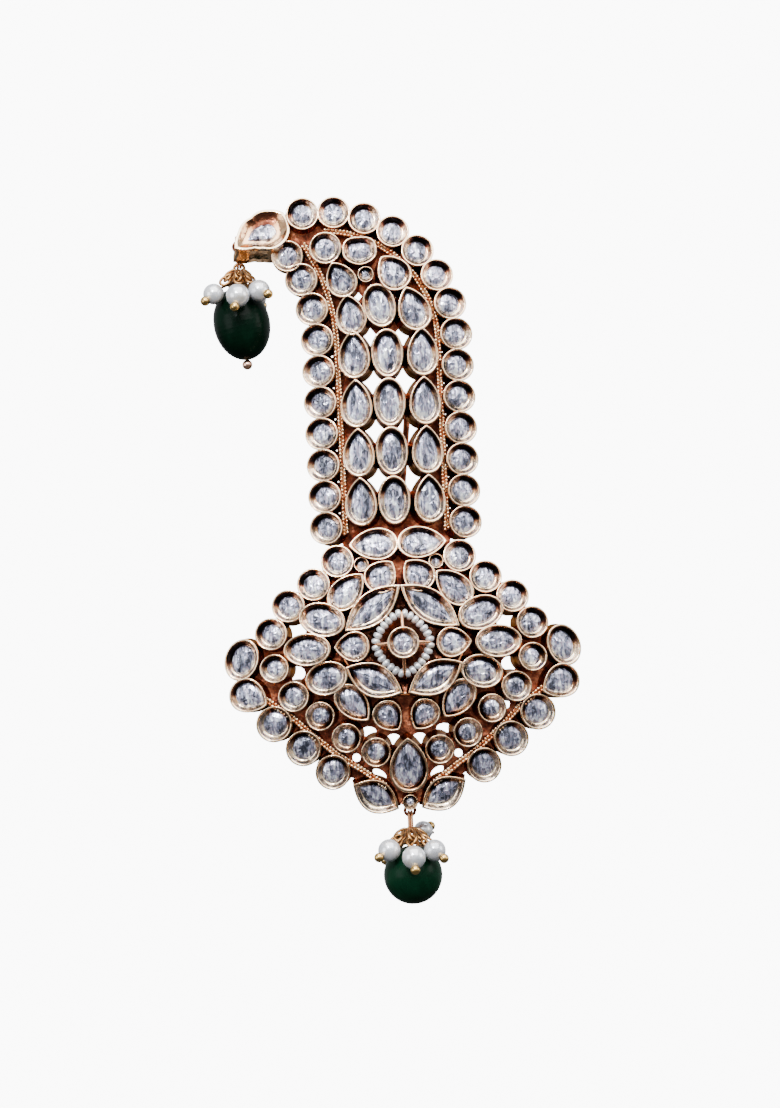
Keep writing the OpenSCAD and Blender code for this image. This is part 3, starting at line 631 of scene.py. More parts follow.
class KalgiMetal(bpy.types.PropertyGroup):
    """Colours of the metal"""
    # Cream: the gold's painted highlight low in lit funnels, and the brightest random patches of the grains
    cream: colour_property("Cream", "The brightest gold, low in the funnels", (0.95, 0.76, 0.54))
    # Pale gold: the gold's painted highlight on rims and lit walls, and random patches of the grains and the
    # rose and pink metals
    pale: colour_property("Pale gold", "Rims and lit walls", (0.8, 0.48, 0.26))
    rose: colour_property("Rose gold", "Polished rose gold", (0.5, 0.25, 0.12))
    brown: colour_property("Brown", "Walls in shade", (0.22, 0.08, 0.04))
    # Deep brown: the gold's painted shade in funnels and walls turned from the light, and the darkest random
    # patches of the copper
    deep: colour_property("Deep brown", "Metal that polish never reaches", (0.07, 0.02, 0.012))
    # Dark: the gold's painted shade in funnels that face down, away from the light
    painted_shade: colour_property("Dark", "Funnels that face down", (0.012, 0.008, 0.007))
    copper: colour_property("Copper", "The reddish backing", (0.2, 0.055, 0.028))
    bright_copper: colour_property("Bright copper", "Its lit patches", (0.48, 0.17, 0.085))
    yellow: colour_property("Yellow gold", "Balls and loops of the pendants", (0.66, 0.44, 0.14))
    old_gold: colour_property("Old gold", "Their darker patches", (0.5, 0.3, 0.1))
    wire: colour_property("Wire", "The thin wires", (0.6, 0.37, 0.14))
    pink: colour_property("Pink", "The end ball under the drop", (0.85, 0.5, 0.42))


class KalgiStone(bpy.types.PropertyGroup):
    """Colours of the foiled stones"""
    # Dark: the darkest random streaks, deepened by the painted shade on each stone's upper end
    dark: colour_property("Dark", "Darkest streaks", (0.03, 0.035, 0.055))
    grey: colour_property("Grey", "Grey streaks", (0.1, 0.1, 0.135))
    blue: colour_property("Blue", "Blue-grey streaks", (0.22, 0.25, 0.36))
    lilac: colour_property("Lilac", "Lilac streaks", (0.37, 0.29, 0.38))
    pale: colour_property("Pale", "Pale blue patches", (0.55, 0.62, 0.78))
    # White: the painted glints on the stones
    white: colour_property("White", "White flashes", (0.97, 0.98, 1.0))
    crinkle: number_property("Crinkle", "Depth of the foil's crinkles, in mm", 0.25, min=0, max=1)


class KalgiPearl(bpy.types.PropertyGroup):
    """Colours of the pearls and the green stones"""
    body: colour_property("Pearl", "Body of the pearls", (0.7, 0.71, 0.74))
    shade: colour_property("Shade", "Grey-blue cloud", (0.53, 0.55, 0.6))
    warm: colour_property("Warm", "Cream cloud", (0.54, 0.49, 0.43))
    green_deep: colour_property("Deep green", "Body of the green stones", (0.0003, 0.002, 0.0012))
    green_light: colour_property("Light green", "Clouds in the green stones", (0.0028, 0.03, 0.0125))


class KalgiStage(bpy.types.PropertyGroup):
    """Light, floor and camera"""
    key: number_property("Key", "Power of the large light above, in watts", 27.0, min=0)
    spark: number_property("Spark", "Power of the small light that gives glints, in watts", 6.0, min=0)
    fill: number_property("Fill", "Power of the light at the left, in watts", 3.5, min=0)
    world: number_property("Surroundings", "Brightness of the surroundings", 0.85, min=0)
    wall_glow: number_property("Wall", "Own light of the pale wall", 9.0, min=0)
    distance: number_property("Distance", "Camera to brooch", 0.9, unit="LENGTH", min=0.3)
    azimuth: number_property("Azimuth", "Camera's turn round the brooch", math.radians(-1.5), subtype="ANGLE")
    elevation: number_property("Elevation", "Camera's height over level", math.radians(-4), subtype="ANGLE")
    roll: number_property("Roll", "Turn of the picture", math.radians(2.8), subtype="ANGLE")


# How deep a cup's foot is sunk in its plate, where its wall ends under the rim, and how deep its lip is, in mm
FOOT_SUNK, WALL_TOP, LIP_DEPTH = 0.3, 0.16, 0.14
# The rim, from the outside in: width as a share of the cup's, and depth
RIM = [(0.994, 0.05), (0.976, 0.0), (0.918, 0.0), (0.893, 0.05), (0.87, LIP_DEPTH)]
FUNNEL_STEPS = (0.2, 0.4, 0.6, 0.8, 1)
# Painted shade of the rings from the foot over the rim, lightest as a painted highlight on the rim's top, and
# how much of the funnel's painted shade each ring inside it has
OUTSIDE_TONES = np.array([0.5, 0.54, 0.6, 0.58, 0.5, 0.36, 0.14, 0.14])
INSIDE_SHARES = np.array([0.35, 0.85, 1.0, 1.0, 1.0, 1.0, 1.0, 0.9, 0.8])
# The funnel's painted shade by how far it faces away from the light, from -1 to 1, with a painted highlight
# where it faces the light
FUNNEL_TONES = np.array([(-0.9, 0.0), (-0.2, 0.06), (0.25, 0.22), (0.5, 0.45), (0.66, 0.82), (0.85, 0.98)])
# Below this line, in mm, the domed plaque turns its cups down. The deep ones there get painted light and shade
# as if lit from below.
TURNED_DOWN, DEEP_CUP = -9, 3.5


def cups(stones, look, seed, lit=1.0):
    """Closed cups: rings from the foot up the outside, over a thin rounded rim and down the funnel to its
    floor, with light and shade painted in: darkest in each funnel on the side that faces away from the light."""
    rng = np.random.default_rng(seed)
    n, grow, waist = look.points, look.rim_share, look.foot_share
    fan = stones.cut[:, None] == FAN
    wall = []
    for u, skirt in ((0.0, 1.06), (0.22, 1.0), (0.45, waist + 0.04), (0.75, waist), (1.0, 1.0)):
        foot = stones.standing(stones.outline(skirt * grow, n), stones.level - FOOT_SUNK)
        wall.append(foot * (1 - u) + stones.leaning(stones.outline(grow, n), WALL_TOP) * u)
    inner = [(share * grow, 0, down) for share, down in RIM]
    lip = inner[-1][0]
    for u in FUNNEL_STEPS:
        down = LIP_DEPTH + (SEAT_DEPTH - LIP_DEPTH) * (1 - (1 - u) ** 1.8)
        inner.append((lip + (1 - lip) * u, u, down))
    inner += [(0.97, 1, SEAT_DEPTH), (0.85, 1, SEAT_DEPTH + 0.1)]
    rings = np.stack(wall + [stones.leaning(stones.outline(share, n, 0, inset), down)
                             for share, inset, down in inner], 1)
    # The funnels' painted light and shade: painted shade on the side of each funnel away from the light, a
    # painted highlight on the side towards it, and in the deep cups low on the plaque as if lit from below
    x, y = stones.place.T
    low = y < TURNED_DOWN
    under = low & (stones.rim - stones.level > DEEP_CUP)
    across = np.where(low, -0.35 * np.sign(x), 0.55 * x / (np.abs(x) + 6))
    away = np.stack([np.where(under, np.where(x > 0, -0.9, 0.9), across), np.where(under, -0.3, 0.85)], -1)
    away += rng.normal(0, 0.16, away.shape)
    away *= (rng.uniform(0.85, 1.1, len(x)) / np.linalg.norm(away, axis=1))[:, None]
    q = stones.outline(1.0, n)
    q = q / np.linalg.norm(q, axis=-1)[..., None]
    funnel = 0.4 + (np.interp(np.einsum("snk,sk->sn", q, away), *FUNNEL_TONES.T) - 0.4) * lit
    funnel = np.where(under[:, None], 0.2 + 0.66 * funnel, funnel)
    funnel = np.where(fan, 0.42 + 0.55 * (funnel - 0.42), funnel)
    outside = np.where(fan, OUTSIDE_TONES * 0.3, OUTSIDE_TONES)
    tone = np.concatenate([np.broadcast_to(outside[..., None], (len(x), 8, n)),
                           0.15 + (funnel[:, None] - 0.15) * INSIDE_SHARES[None, :, None]], 1)
    return rings, tone


def inside(points, loops):
    """Which points lie in an odd number of closed loops: a ray to the right crosses their edges that often."""
    crossed = np.zeros(len(points), int)
    for loop in loops:
        a, b = loop[:, None], np.roll(loop, -1, 0)[:, None]
        rise = np.where(a[..., 1] == b[..., 1], 1, b[..., 1] - a[..., 1])
        at = a[..., 0] + (points[:, 1] - a[..., 1]) * (b[..., 0] - a[..., 0]) / rise
        crossed += (((a[..., 1] > points[:, 1]) != (b[..., 1] > points[:, 1])) & (at > points[:, 0])).sum(0)
    return crossed % 2 == 1


def plate_between(loops, low, high):
    """A flat plate cut to its outline, with holes: triangles between the loops on both faces, and its edges."""
    first = np.cumsum([0] + [len(loop) for loop in loops])
    edges = [(s + k, s + (k + 1) % len(loop)) for s, loop in zip(first, loops) for k in range(len(loop))]
    found = delaunay_2d_cdt([Vector(p) for p in np.concatenate(loops)], edges, [], 0, 1e-5)
    flat, triangles = np.array([tuple(p) for p in found[0]]), np.array(found[2])
    triangles = triangles[inside(flat[triangles].mean(1), loops)]
    pairs = np.concatenate([triangles[:, [0, 1]], triangles[:, [1, 2]], triangles[:, [2, 0]]])
    n = len(flat)
    edge = pairs[~np.isin(pairs @ [n, 1], pairs @ [1, n])]
    upright_edges = np.stack([edge[:, 0], edge[:, 1], edge[:, 1] + n, edge[:, 0] + n], -1)
    points = np.concatenate([np.c_[flat, np.full(n, low)], np.c_[flat, np.full(n, high)]])
    return points, [triangles + n, triangles[:, ::-1], upright_edges]


def hole_loops(rows, n):
    """Outlines of holes from their rows of x, y, half width, half height and turn."""
    t = 2 * np.pi * np.arange(n) / n
    loops = []
    for x, y, w, h, turn in rows:
        c, s = math.cos(math.radians(turn)), math.sin(math.radians(turn))
        wide, high = w * np.cos(t), h * np.sin(t)
        loops.append(np.stack([x + wide * c - high * s, y + wide * s + high * c], -1))
    return loops


def feet(rows, height, ground):
    """Where the feet of cups of that height stand, moved inwards by their lean."""
    p = np.array([r[:2] for r in rows], float)
    return p - (column_slope(p) if ground == "column" else p / PLAQUE_DOME) * height


def rounded_hull(points, n):
    """A smooth closed outline round points: the farthest one in each direction, evened out over five."""
    t = 2 * np.pi * np.arange(n) / n
    far = points[np.argmax(points @ np.stack([np.cos(t), np.sin(t)]), axis=0)]
    return sum(np.roll(far, k, 0) for k in range(-2, 3)) / 5


# Where the column's strips start, before the bend, and each one's border, side, inset and end past the bend
STRIP_START = -34.7
STRIPS = {
    "right": (RIGHT_X, RIGHT_BEND, 1, 3.45, 36.0),
    "left": (LEFT_X, LEFT_BEND, -1, 3.55, 17.0),
}


def even(line, step):
    """Points about a step apart along a line, evenly spaced by its length."""
    count = int(lengths(line)[-1] / step)
    return at_lengths(line, np.arange(count + 1) * lengths(line)[-1] / count)


def strip_lines(step):
    """The column's two milled strips and the plaque's two, as rows of evenly spaced points."""
    lines = []
    for x, bend, side, inset, last in STRIPS.values():
        fine = along_border(x, bend, side, inset, np.linspace(STRIP_START, last, 400))
        lines.append(even(fine, step))
    for side in (1, -1):
        lines.append(even(curve_through(LOWER_STRIP * [side, 1], 300), step))
    return lines


# The strips' walls: width, bevel, height over their plate, and distance between their points and grains
STRIP_WIDTH, STRIP_BEVEL, STRIP_RISE, STRIP_STEP = 1.3, 0.14, 2.2, 0.66
# Their grains: radius, height of the middle over the wall, and distance of each row from the middle line
GRAIN_RADIUS, GRAIN_LIFT, GRAIN_OFFSET = 0.36, 0.14, 0.32
# An eye's radius, the thickness of its wire and post as radii, and how far it is behind the plate
EYE_RADIUS, EYE_WIRE, EYE_POST, EYE_BACK = 0.9, 0.28, 0.4, 1.6


def square_to(line):
    """Steps along a line in the plane, and unit arrows to its left."""
    d = np.gradient(line, axis=0)
    return d, np.stack([-d[:, 1], d[:, 0]], -1) / np.linalg.norm(d, axis=1)[:, None]


def walls(line, low, high):
    """An upright wall along a line: a bevelled section carried along it."""
    _, side = square_to(line)
    w, b = STRIP_WIDTH / 2, STRIP_BEVEL
    section = [(-w, low), (w, low), (w, high - b), (w - b, high), (b - w, high), (-w, high - b)]
    edges = [np.c_[line + side * across, np.full(len(line), up)] for across, up in section]
    return lofted(np.stack(edges, 1)[None])


def eye(x, y, back):
    """The eye behind a tip: a ring facing the front, behind the plate, and its post."""
    t = 2 * np.pi * np.arange(28) / 28
    level = back - EYE_BACK
    ring = np.stack([x + EYE_RADIUS * np.cos(t), y + EYE_RADIUS * np.sin(t), np.full(28, level)], -1)
    post = np.array([[x, y + EYE_RADIUS, level], [x, y + EYE_RADIUS, back + 0.3]])
    return merged([swept(ring, EYE_WIRE, 12, closed=True), swept(post, EYE_POST, 12)])


# Holes as rows of x, y, half width, half height and turn: the column's diamonds, those of the plaque's right
# half, and one that is on the right alone
DIAMONDS = [(x, y + 4.45, 1.9, 2.6, 0) for x in (-3.2, 3.0) for y in FIELD_Y[:3]]
DIAMONDS += [
    (-3.2, 56.0, 1.9, 2.4, 0), (3.1, 56.5, 1.9, 2.2, 0), (-5.1, 63.9, 1.0, 1.1, 0), (2.5, 63.6, 0.7, 0.7, 0),
]
HALF_HOLES = [
    (18.9, 3.7, 1.8, 1.5, 0), (19.2, -4.2, 1.5, 1.3, 0), (6.8, -15.3, 1.4, 0.9, 0), (2.35, -16.9, 1.3, 1.0, 0),
    (9.2, -19.9, 0.75, 0.75, 0), (5.2, -23.0, 1.4, 0.7, 35),
]
RIGHT_HOLE = (18.3, -11.4, 0.6, 0.9, 0)
# The column plate: how far it reaches past a strip's middle line, the corners of its foot, its corner at the
# bud's post, and the pad on it behind the plaque
STRIP_COVER = 0.75
COLUMN_FOOT = np.array([(-9.4, 13.5), (9.3, 13.5)])
BUD_CORNER = np.array([-26.2, 75.1]) + [(4.2, 1.7), (-0.5, 0.7), (-0.6, -0.8), (3, -2), (5.8, -1.5)]
PAD = np.array([[-7.5, 14], [7.5, 14], [7.5, 20], [-7.5, 20]])
# The eyes' places, the pendants' axes and the lower end of the plaque's plate
BUD_EYE, TIP_EYE = (-26.2, 74.2), (0, -29.8)
UPPER_AXIS, LOWER_AXIS = np.array([-26.2, 1.6, 0.0]), np.array([0.0, -0.4, 0.0])
PLAQUE_FOOT = [[0, -29.5]]
# The boss from its back over its edge to its face: level, width as a share of its outline, and painted light
# and
# shade: a painted highlight along its front edge and painted shade towards its back and on its inner side
BOSS_BACK = PLAQUE_LIFT + 0.3
BOSS_SECTION = [
    (BOSS_FRONT - 0.9, 0.86, 0.7), (BOSS_BACK, 0.87, 0.8), (BOSS_BACK, 0.95, 0.8), (BOSS_FRONT - 0.5, 1.0, 0.5),
    (BOSS_FRONT - 0.15, 0.995, 0.15), (BOSS_FRONT, 0.97, 0.15), (BOSS_FRONT, 0.955, 0.3),
    (BOSS_FRONT - 0.15, 0.93, 0.7),
]


def put_cups(name, node, groups, seed, lit):
    """One piece of all the cups of some groups, in place of a node. lit is how strong each group's painted
    light and shade are.
    """
    look = bpy.context.scene.kalgi_collets
    made = [cups(group, look, seed + k, share) for k, (group, share) in enumerate(zip(groups, lit))]
    put(name, merged([lofted(rings) for rings, _ in made]), "brooch", "gold", replaces=(node,),
        tone=np.concatenate([tone.ravel() for _, tone in made]))


def plate_edge(side, last, count):
    """The column plate's edge along a strip, up to a distance past the bend's start."""
    x, bend, sign, inset, _ = STRIPS[side]
    return along_border(x, bend, sign, inset - STRIP_COVER, np.linspace(STRIP_START, last, count))


def put_plate(name, flats, ring):
    """One piece of flat parts, left sharp, and the eye behind them."""
    sharp = sum(len(faces) for _, faces in flats)
    put(name, merged(flats + [ring]), "brooch", "copper", smooth=[False] * sharp + [True] * len(ring[1]))


class KALGI_OT_column(bpy.types.Operator):
    """Makes the column's collets and its plate with the diamond holes"""
    bl_idname = "kalgi.column"
    bl_label = "Column"

    def execute(self, context):
        put_cups("column_collets", "column_setting", (COLUMN_BORDER, COLUMN_FIELD), 0, (1.0, 1.0))
        edge = COLUMN_EDGE[1]
        outline = np.concatenate([
            COLUMN_FOOT[1:], plate_edge("right", 10, 24), feet(RIGHT_BORDER[8:], edge, "column"), BUD_CORNER,
            feet(LEFT_BORDER[:6:-1], edge, "column"), plate_edge("left", 0, 2)[::-1], COLUMN_FOOT[:1]])
        flat = plate_between([outline] + hole_loops(DIAMONDS, 4), 0, PLATE)
        pad = lofted(np.stack([np.c_[PAD, np.full(4, z)] for z in (0.1, PLAQUE_LIFT - 0.1)])[None])
        put_plate("column_plate", [flat, pad], eye(*BUD_EYE, 0))
        return {"FINISHED"}


class KALGI_OT_plaque(bpy.types.Operator):
    """Makes the plaque's collets, its plate, the boss and the flower's cup"""
    bl_idname = "kalgi.plaque"
    bl_label = "Plaque"

    def execute(self, context):
        groups = (PLAQUE_BORDER, PLAQUE_TIER, BOSS, FLOWER_CUP)
        put_cups("plaque_collets", "plaque_setting", groups, 5, (1.0, 1.0, 0.9, 0.8))
        border = [HALF_BORDER[0]] + HALF_BORDER[2:]
        edge = PLAQUE_EDGE[1]
        outline = np.concatenate([
            feet(border, edge, "plaque"), PLAQUE_FOOT, feet(mirrored(border)[::-1], edge, "plaque")])
        around = BOSS.outline(0.98, 40) + BOSS.place[:, None] * (1 - ON_BOSS[1] / PLAQUE_DOME)
        hull = rounded_hull(around.reshape(-1, 2), 96)
        holes = HALF_HOLES + [(-x, y, w, h, -turn) for x, y, w, h, turn in HALF_HOLES] + [RIGHT_HOLE]
        flat = plate_between([outline, hull * 0.95] + hole_loops(holes, 12), PLAQUE_LIFT, PLAQUE_FRONT)
        put_plate("plaque_plate", [flat], eye(*TIP_EYE, PLAQUE_LIFT))
        rings = np.stack([np.c_[hull * share, np.full(len(hull), z)] for z, share, _ in BOSS_SECTION])
        # Painted shade towards the boss's back and inner side, a painted highlight along its front edge
        tone = np.repeat([shade for *_, shade in BOSS_SECTION], len(hull))
        put("flower_boss", lofted(rings[None]), "brooch", "gold", tone=tone)
        return {"FINISHED"}


# The seed pearls: count, and radius, thickness and roundness of each. Their ring: half width, half height, the
# power that shapes it, and how far it is under the flower's rim
SEEDS, SEED_RADIUS, SEED_FLAT, SEED_BARREL = 28, 0.86, 0.62, 0.5
SEED_WIDE, SEED_HIGH, SEED_POWER, SEED_DOWN = 4.95, 5.45, 1.3, 2.7
THREAD_RADIUS = 0.14
# Each prong's line: distance from the flower's middle, or past its reach, and depth under the rim
PRONG_START, PRONG_END = [(2.3, 1.0), (3.5, 1.35)], [(0, 2.2), (0.7, 3.4)]
PRONG_REACH = (4.85, 5.5)


class KALGI_OT_flower(bpy.types.Operator):
    """Makes the ring of seed pearls round the flower, with its thread and prongs"""
    bl_idname = "kalgi.flower"
    bl_label = "Flower"

    def execute(self, context):
        top = BOSS_FRONT + FLOWER_HEIGHT
        t = np.linspace(0, 2 * np.pi, 721)[:-1]
        power = lambda v: np.sign(v) * np.abs(v) ** SEED_POWER
        path = np.c_[SEED_WIDE * power(np.cos(t)), SEED_HIGH * power(np.sin(t)), np.full(720, top - SEED_DOWN)]
        closed = np.r_[path, path[:1]]
        whole = lengths(closed)[-1]
        where = (np.arange(SEEDS) + 0.5) * whole / SEEDS
        centres = at_lengths(closed, where)
        axes = at_lengths(closed, (where + 0.1) % whole) - centres
        put("seed_pearls", balls(centres, SEED_RADIUS, 9, 16, axes, SEED_FLAT, SEED_BARREL), "brooch", "pearl",
            replaces=("seed_pearl_string",))
        arms = [swept(path[::8], THREAD_RADIUS, 8, closed=True)]
        for k in range(4):
            c, s = math.cos(math.radians(90 * k)), math.sin(math.radians(90 * k))
            rows = PRONG_START + [(PRONG_REACH[k % 2] + out, down) for out, down in PRONG_END]
            line = curve_through([(out * c, out * s, top - down) for out, down in rows], 16)
            arms.append(swept(line, np.linspace(0.36, 0.2, 16), 10))
        put("flower_prongs", merged(arms), "brooch", "rose")
        return {"FINISHED"}


class KALGI_OT_strips(bpy.types.Operator):
    """Makes the milled strips: walls with two staggered rows of grains on them"""
    bl_idname = "kalgi.strips"
    bl_label = "Milled strips"

    def execute(self, context):
        levels = [(0.15, PLATE + STRIP_RISE)] * 2 + [(PLAQUE_LIFT + 0.4, PLAQUE_FRONT + STRIP_RISE)] * 2
        lines = strip_lines(STRIP_STEP)
        shape = merged([walls(line, low, high) for line, (low, high) in zip(lines, levels)])
        put("strip_walls", shape, "brooch", "copper", smooth=False)
        grains = []
        for line, (_, high) in zip(lines, levels):
            d, side = square_to(line)
            for across, along in ((GRAIN_OFFSET, 0.0), (-GRAIN_OFFSET, 0.5)):
                row = line + side * across + d * along
                grains.append(balls(np.c_[row, np.full(len(row), high + GRAIN_LIFT)], GRAIN_RADIUS, 5, 8))
        put("strip_grains", merged(grains), "brooch", "grain")
        return {"FINISHED"}


# Rings of a cut stone from its back to its table: share of its outline, depth under the rim, turn in steps from
# point to point, and how uneven it is
GEM_RINGS = [
    (1.0, 1.15, 0, 0), (1.0, 0.86, 0, 0), (0.88, 0.6, 0.5, 0.05), (0.62, 0.38, 0, 0.06),
    (0.28, 0.28, 0.5, 0.05),
]
GEM_POINTS = 16
# How far a stone's box may be from that of the solids it replaces, in metres
MOST_OFF = 0.0016


def gems(stones, seed):
    """Cut stones with a crown of facets round a small table, uneven as hand cut ones are, and how far up each
    of their points is, from about -0.5 to 0.5."""
    rng = np.random.default_rng(seed)
    uneven = lambda size: rng.uniform(-size, size, (len(stones.place), GEM_POINTS, 1))
    rings, fall = [], []
    for share, down, phase, jitter in GEM_RINGS:
        q = stones.outline(share, GEM_POINTS, phase, 1.0) * (1 + uneven(jitter * 0.6))
        ring = stones.leaning(q, down)
        ring[..., 2:] += uneven(jitter)
        rings.append(ring)
        fall.append(q[..., 1] / stones.size.mean(1)[:, None])
    return np.stack(rings, 1), np.stack(fall, 1)


def gem_faces(rings):
    """Triangles between rings whose points are half a step apart, a level back and a small table."""
    s, r, n, _ = rings.shape
    base = (np.arange(s) * r * n)[:, None]
    i = np.arange(n)
    j = (i + 1) % n
    faces = [(base + i[::-1][None])]
    for k in range(r - 1):
        a, b = k * n, (k + 1) * n
        if k % 2:
            pairs = [(a + i, a + j, b + i), (a + j, b + j, b + i)]
        else:
            pairs = [(a + i, a + j, b + j), (a + i, b + j, b + i)]
        for tri in pairs:
            faces.append((base[..., None] + np.stack(tri, -1)[None]).reshape(-1, 3))
    faces.append(base + (r - 1) * n + i[None])
    return rings.reshape(-1, 3), faces


def stone_nodes():
    """Each stone node of the frame with its stones."""
    nodes = {
        "column_border_stones_right": Stones(RIGHT_BORDER, *COLUMN_EDGE),
        "column_border_stones_left": Stones(LEFT_BORDER, *COLUMN_EDGE),
        "bud_stone": Stones([BUD], *COLUMN_EDGE),
        "column_pear_stones_left": Stones(field_pears(-1), *COLUMN_MIDDLE),
        "column_pear_stones_right": Stones(field_pears(1), *COLUMN_MIDDLE),
        "column_top_stones": Stones(FIELD_TOP[5:], *COLUMN_MIDDLE),
        "column_oval_stone_5": Stones(FIELD_TOP[:1], *COLUMN_MIDDLE),
    }
    for k, row in enumerate(FIELD_OVALS):
        nodes[f"column_oval_stone_{k + 1}"] = Stones([row], *COLUMN_MIDDLE)
    nodes["tip_round_stone"] = Stones([TIP_ROUND], *PLAQUE_EDGE)
    nodes["tip_pear_stone"] = Stones([TIP_PEAR], *PLAQUE_MIDDLE)
    nodes["flower_stone"] = FLOWER_CUP
    for side, turned in (("right", list), ("left", mirrored)):
        nodes["plaque_border_stones_" + side] = Stones(turned(HALF_BORDER), *PLAQUE_EDGE)
        nodes["plaque_tier_stones_" + side] = Stones(turned(HALF_TIER), *PLAQUE_MIDDLE)
        for name, row in BOSS_ROWS.items():
            nodes[f"{name}_stone_{side}"] = Stones(turned([row]), *ON_BOSS)
    return nodes


class KALGI_OT_stones(bpy.types.Operator):
    """Makes the cut stones, one piece for each stone node of the frame"""
    bl_idname = "kalgi.stones"
    bl_label = "Stones"

    def execute(self, context):
        rng = np.random.default_rng(7)
        for seed, (node, stones) in enumerate(stone_nodes().items()):
            rings, fall = gems(stones, seed + 3)
            shape = gem_faces(rings)
            stood, (low, high) = upright(shape[0]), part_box(node)
            gap = max(np.abs(stood.min(0) - low).max(), np.abs(stood.max(0) - high).max())
            if gap > MOST_OFF:
                raise RuntimeError(f"{node}: its stones are {gap * 1000:.2f} mm from the frame's")
            # fall paints shade on each stone's upper end and light on its lower end, and a random number for
            # each face paints glints on some facets
            put("cut_" + node, shape, "brooch", "stone", smooth=False, replaces=(node,), fall=fall,
                facet=rng.random(sum(len(f) for f in shape[1])))
        return {"FINISHED"}


# Each pendant's pearls: place from its axis, radius, and turn and dip of the pin that ends in a ball
UPPER_HEADS = [
    (-4.85, -3.9, 65.3, 1.9, 226, 32), (-0.5, -6.6, 64.5, 2.15, 251, 49), (3.4, -5.05, 65.4, 2.0, 308, 19),
    (-0.7, 3.3, 69.0, 1.65, 99, -12), (-2.6, 5.75, 65.0, 1.9, 114, 25), (2.8, 5.4, 65.3, 1.9, 63, 25),
]
LOWER_HEADS = [
    (-4.15, -4.5, -36.9, 2.05, 220, 25), (0.1, -7.1, -38.4, 2.15, 273, 50), (3.94, -4.95, -37.3, 2.0, 312, 33),
    (2.3, 3.2, -33.5, 1.75, 54, -18), (-3.3, 5.5, -37.2, 1.9, 125, 30), (3.1, 5.7, -37.4, 1.9, 57, 24),
]


# The pins' ball heads, and how their middles stand off the pearls
HEAD_RADIUS, HEAD_SEAT, HEAD_GAP = 0.875, 0.85 * 0.8, 0.1
# Loops of wire: their places out from the hub as shares of their size, their width, and the wire's radius
LOOP_PLACES, LOOP_WIDTH, LOOP_WIRE = (1.0, 1.5, 2.1), 0.55, 0.26
WOUND_RADIUS, WOUND_WIRE = 1.2, 0.25
# Jump rings: radius of their ends, length of their sides, and a strand's radius and distance from the middle
RING_RADIUS, RING_STRAIGHT, STRAND_RADIUS, STRAND_OFF = 0.9, 1.8, 0.24, 0.25
# Each pendant's axis, top of its jump ring, pearls, low end, high end and turns of its winding, and height,
# distance from the axis and size of its loops
PENDANTS = {
    "upper": (UPPER_AXIS, 74.0, UPPER_HEADS, (67.3, 69.2, 5), (69.95, 1.0, 1.35)),
    "lower": (LOWER_AXIS, -30.0, LOWER_HEADS, (-35.85, -34.8, 2.5), (-33.1, 1.45, 1.65)),
}
# The drop's lean, the height of its middle, and the ball at its end: distance from the middle and radius
DROP_LEAN, DROP_HEIGHT, END_BALL_DOWN, END_BALL_RADIUS = math.radians(5), 60.15, 7.6, 0.92


def head_balls(rows, axis):
    """The ball at the far end of each pearl's pin."""
    p = np.array(rows, float)
    turn, dip = np.radians(p[:, 4]), np.radians(p[:, 5])
    d = np.stack([np.cos(dip) * np.cos(turn), np.cos(dip) * np.sin(turn), -np.sin(dip)], -1)
    centres = p[:, :3] + d * (p[:, 3] + HEAD_SEAT + HEAD_GAP)[:, None] + axis
    return balls(centres, HEAD_RADIUS, 14, 24)


def pin_loops(rows, axis, start, offset, size):
    """Loops of wire for each pearl: ovals hung round the hub's top, drawn out towards the pearl, each a little
    uneven."""
    rng = np.random.default_rng(11)
    t = 2 * np.pi * np.arange(28) / 28
    loops = []
    for x, y, z, *_ in rows:
        top = np.array([offset * x / math.hypot(x, y), offset * y / math.hypot(x, y), start])
        d = np.array([x, y, z]) - top
        d /= np.linalg.norm(d)
        side = np.cross(d, [0, 0, 1]) / np.linalg.norm(np.cross(d, [0, 0, 1]))
        for along in LOOP_PLACES:
            roll, grow = rng.uniform(-0.8, 0.8), size * rng.uniform(0.85, 1.1)
            across = side * math.cos(roll) + np.cross(d, side) * math.sin(roll)
            path = np.outer(np.cos(t), d) + LOOP_WIDTH * np.outer(np.sin(t) + 0.15 * np.sin(2 * t), across)
            loops.append(swept(axis + top + d * along * size + grow * path, LOOP_WIRE, 8, closed=True))
    return merged(loops)


def winding(axis, low, high, turns):
    """A wire wound round an upright barrel: a helix, slightly uneven."""
    t = np.linspace(0, 1, int(turns * 20))
    a = 2 * np.pi * turns * t
    r = WOUND_RADIUS + 0.05 * np.sin(2.3 * a)
    return swept(np.stack([r * np.cos(a), r * np.sin(a), low + (high - low) * t], -1) + axis, WOUND_WIRE, 8)


def double_ring(axis, top):
    """A long ring of two strands, in the plane from front to back: two half circles and the straight sides."""
    t = np.linspace(0, np.pi, 17)
    y, z = RING_RADIUS * np.cos(t), RING_RADIUS * np.sin(t)
    path = np.concatenate([np.stack([y, z], -1), np.stack([-y, -RING_STRAIGHT - z], -1)])
    path = path + [0, top - RING_RADIUS]
    return merged([
        swept(np.c_[np.full(len(path), x), path] + [axis[0], axis[1], 0], STRAND_RADIUS, 12, closed=True)
        for x in (-STRAND_OFF, STRAND_OFF)])


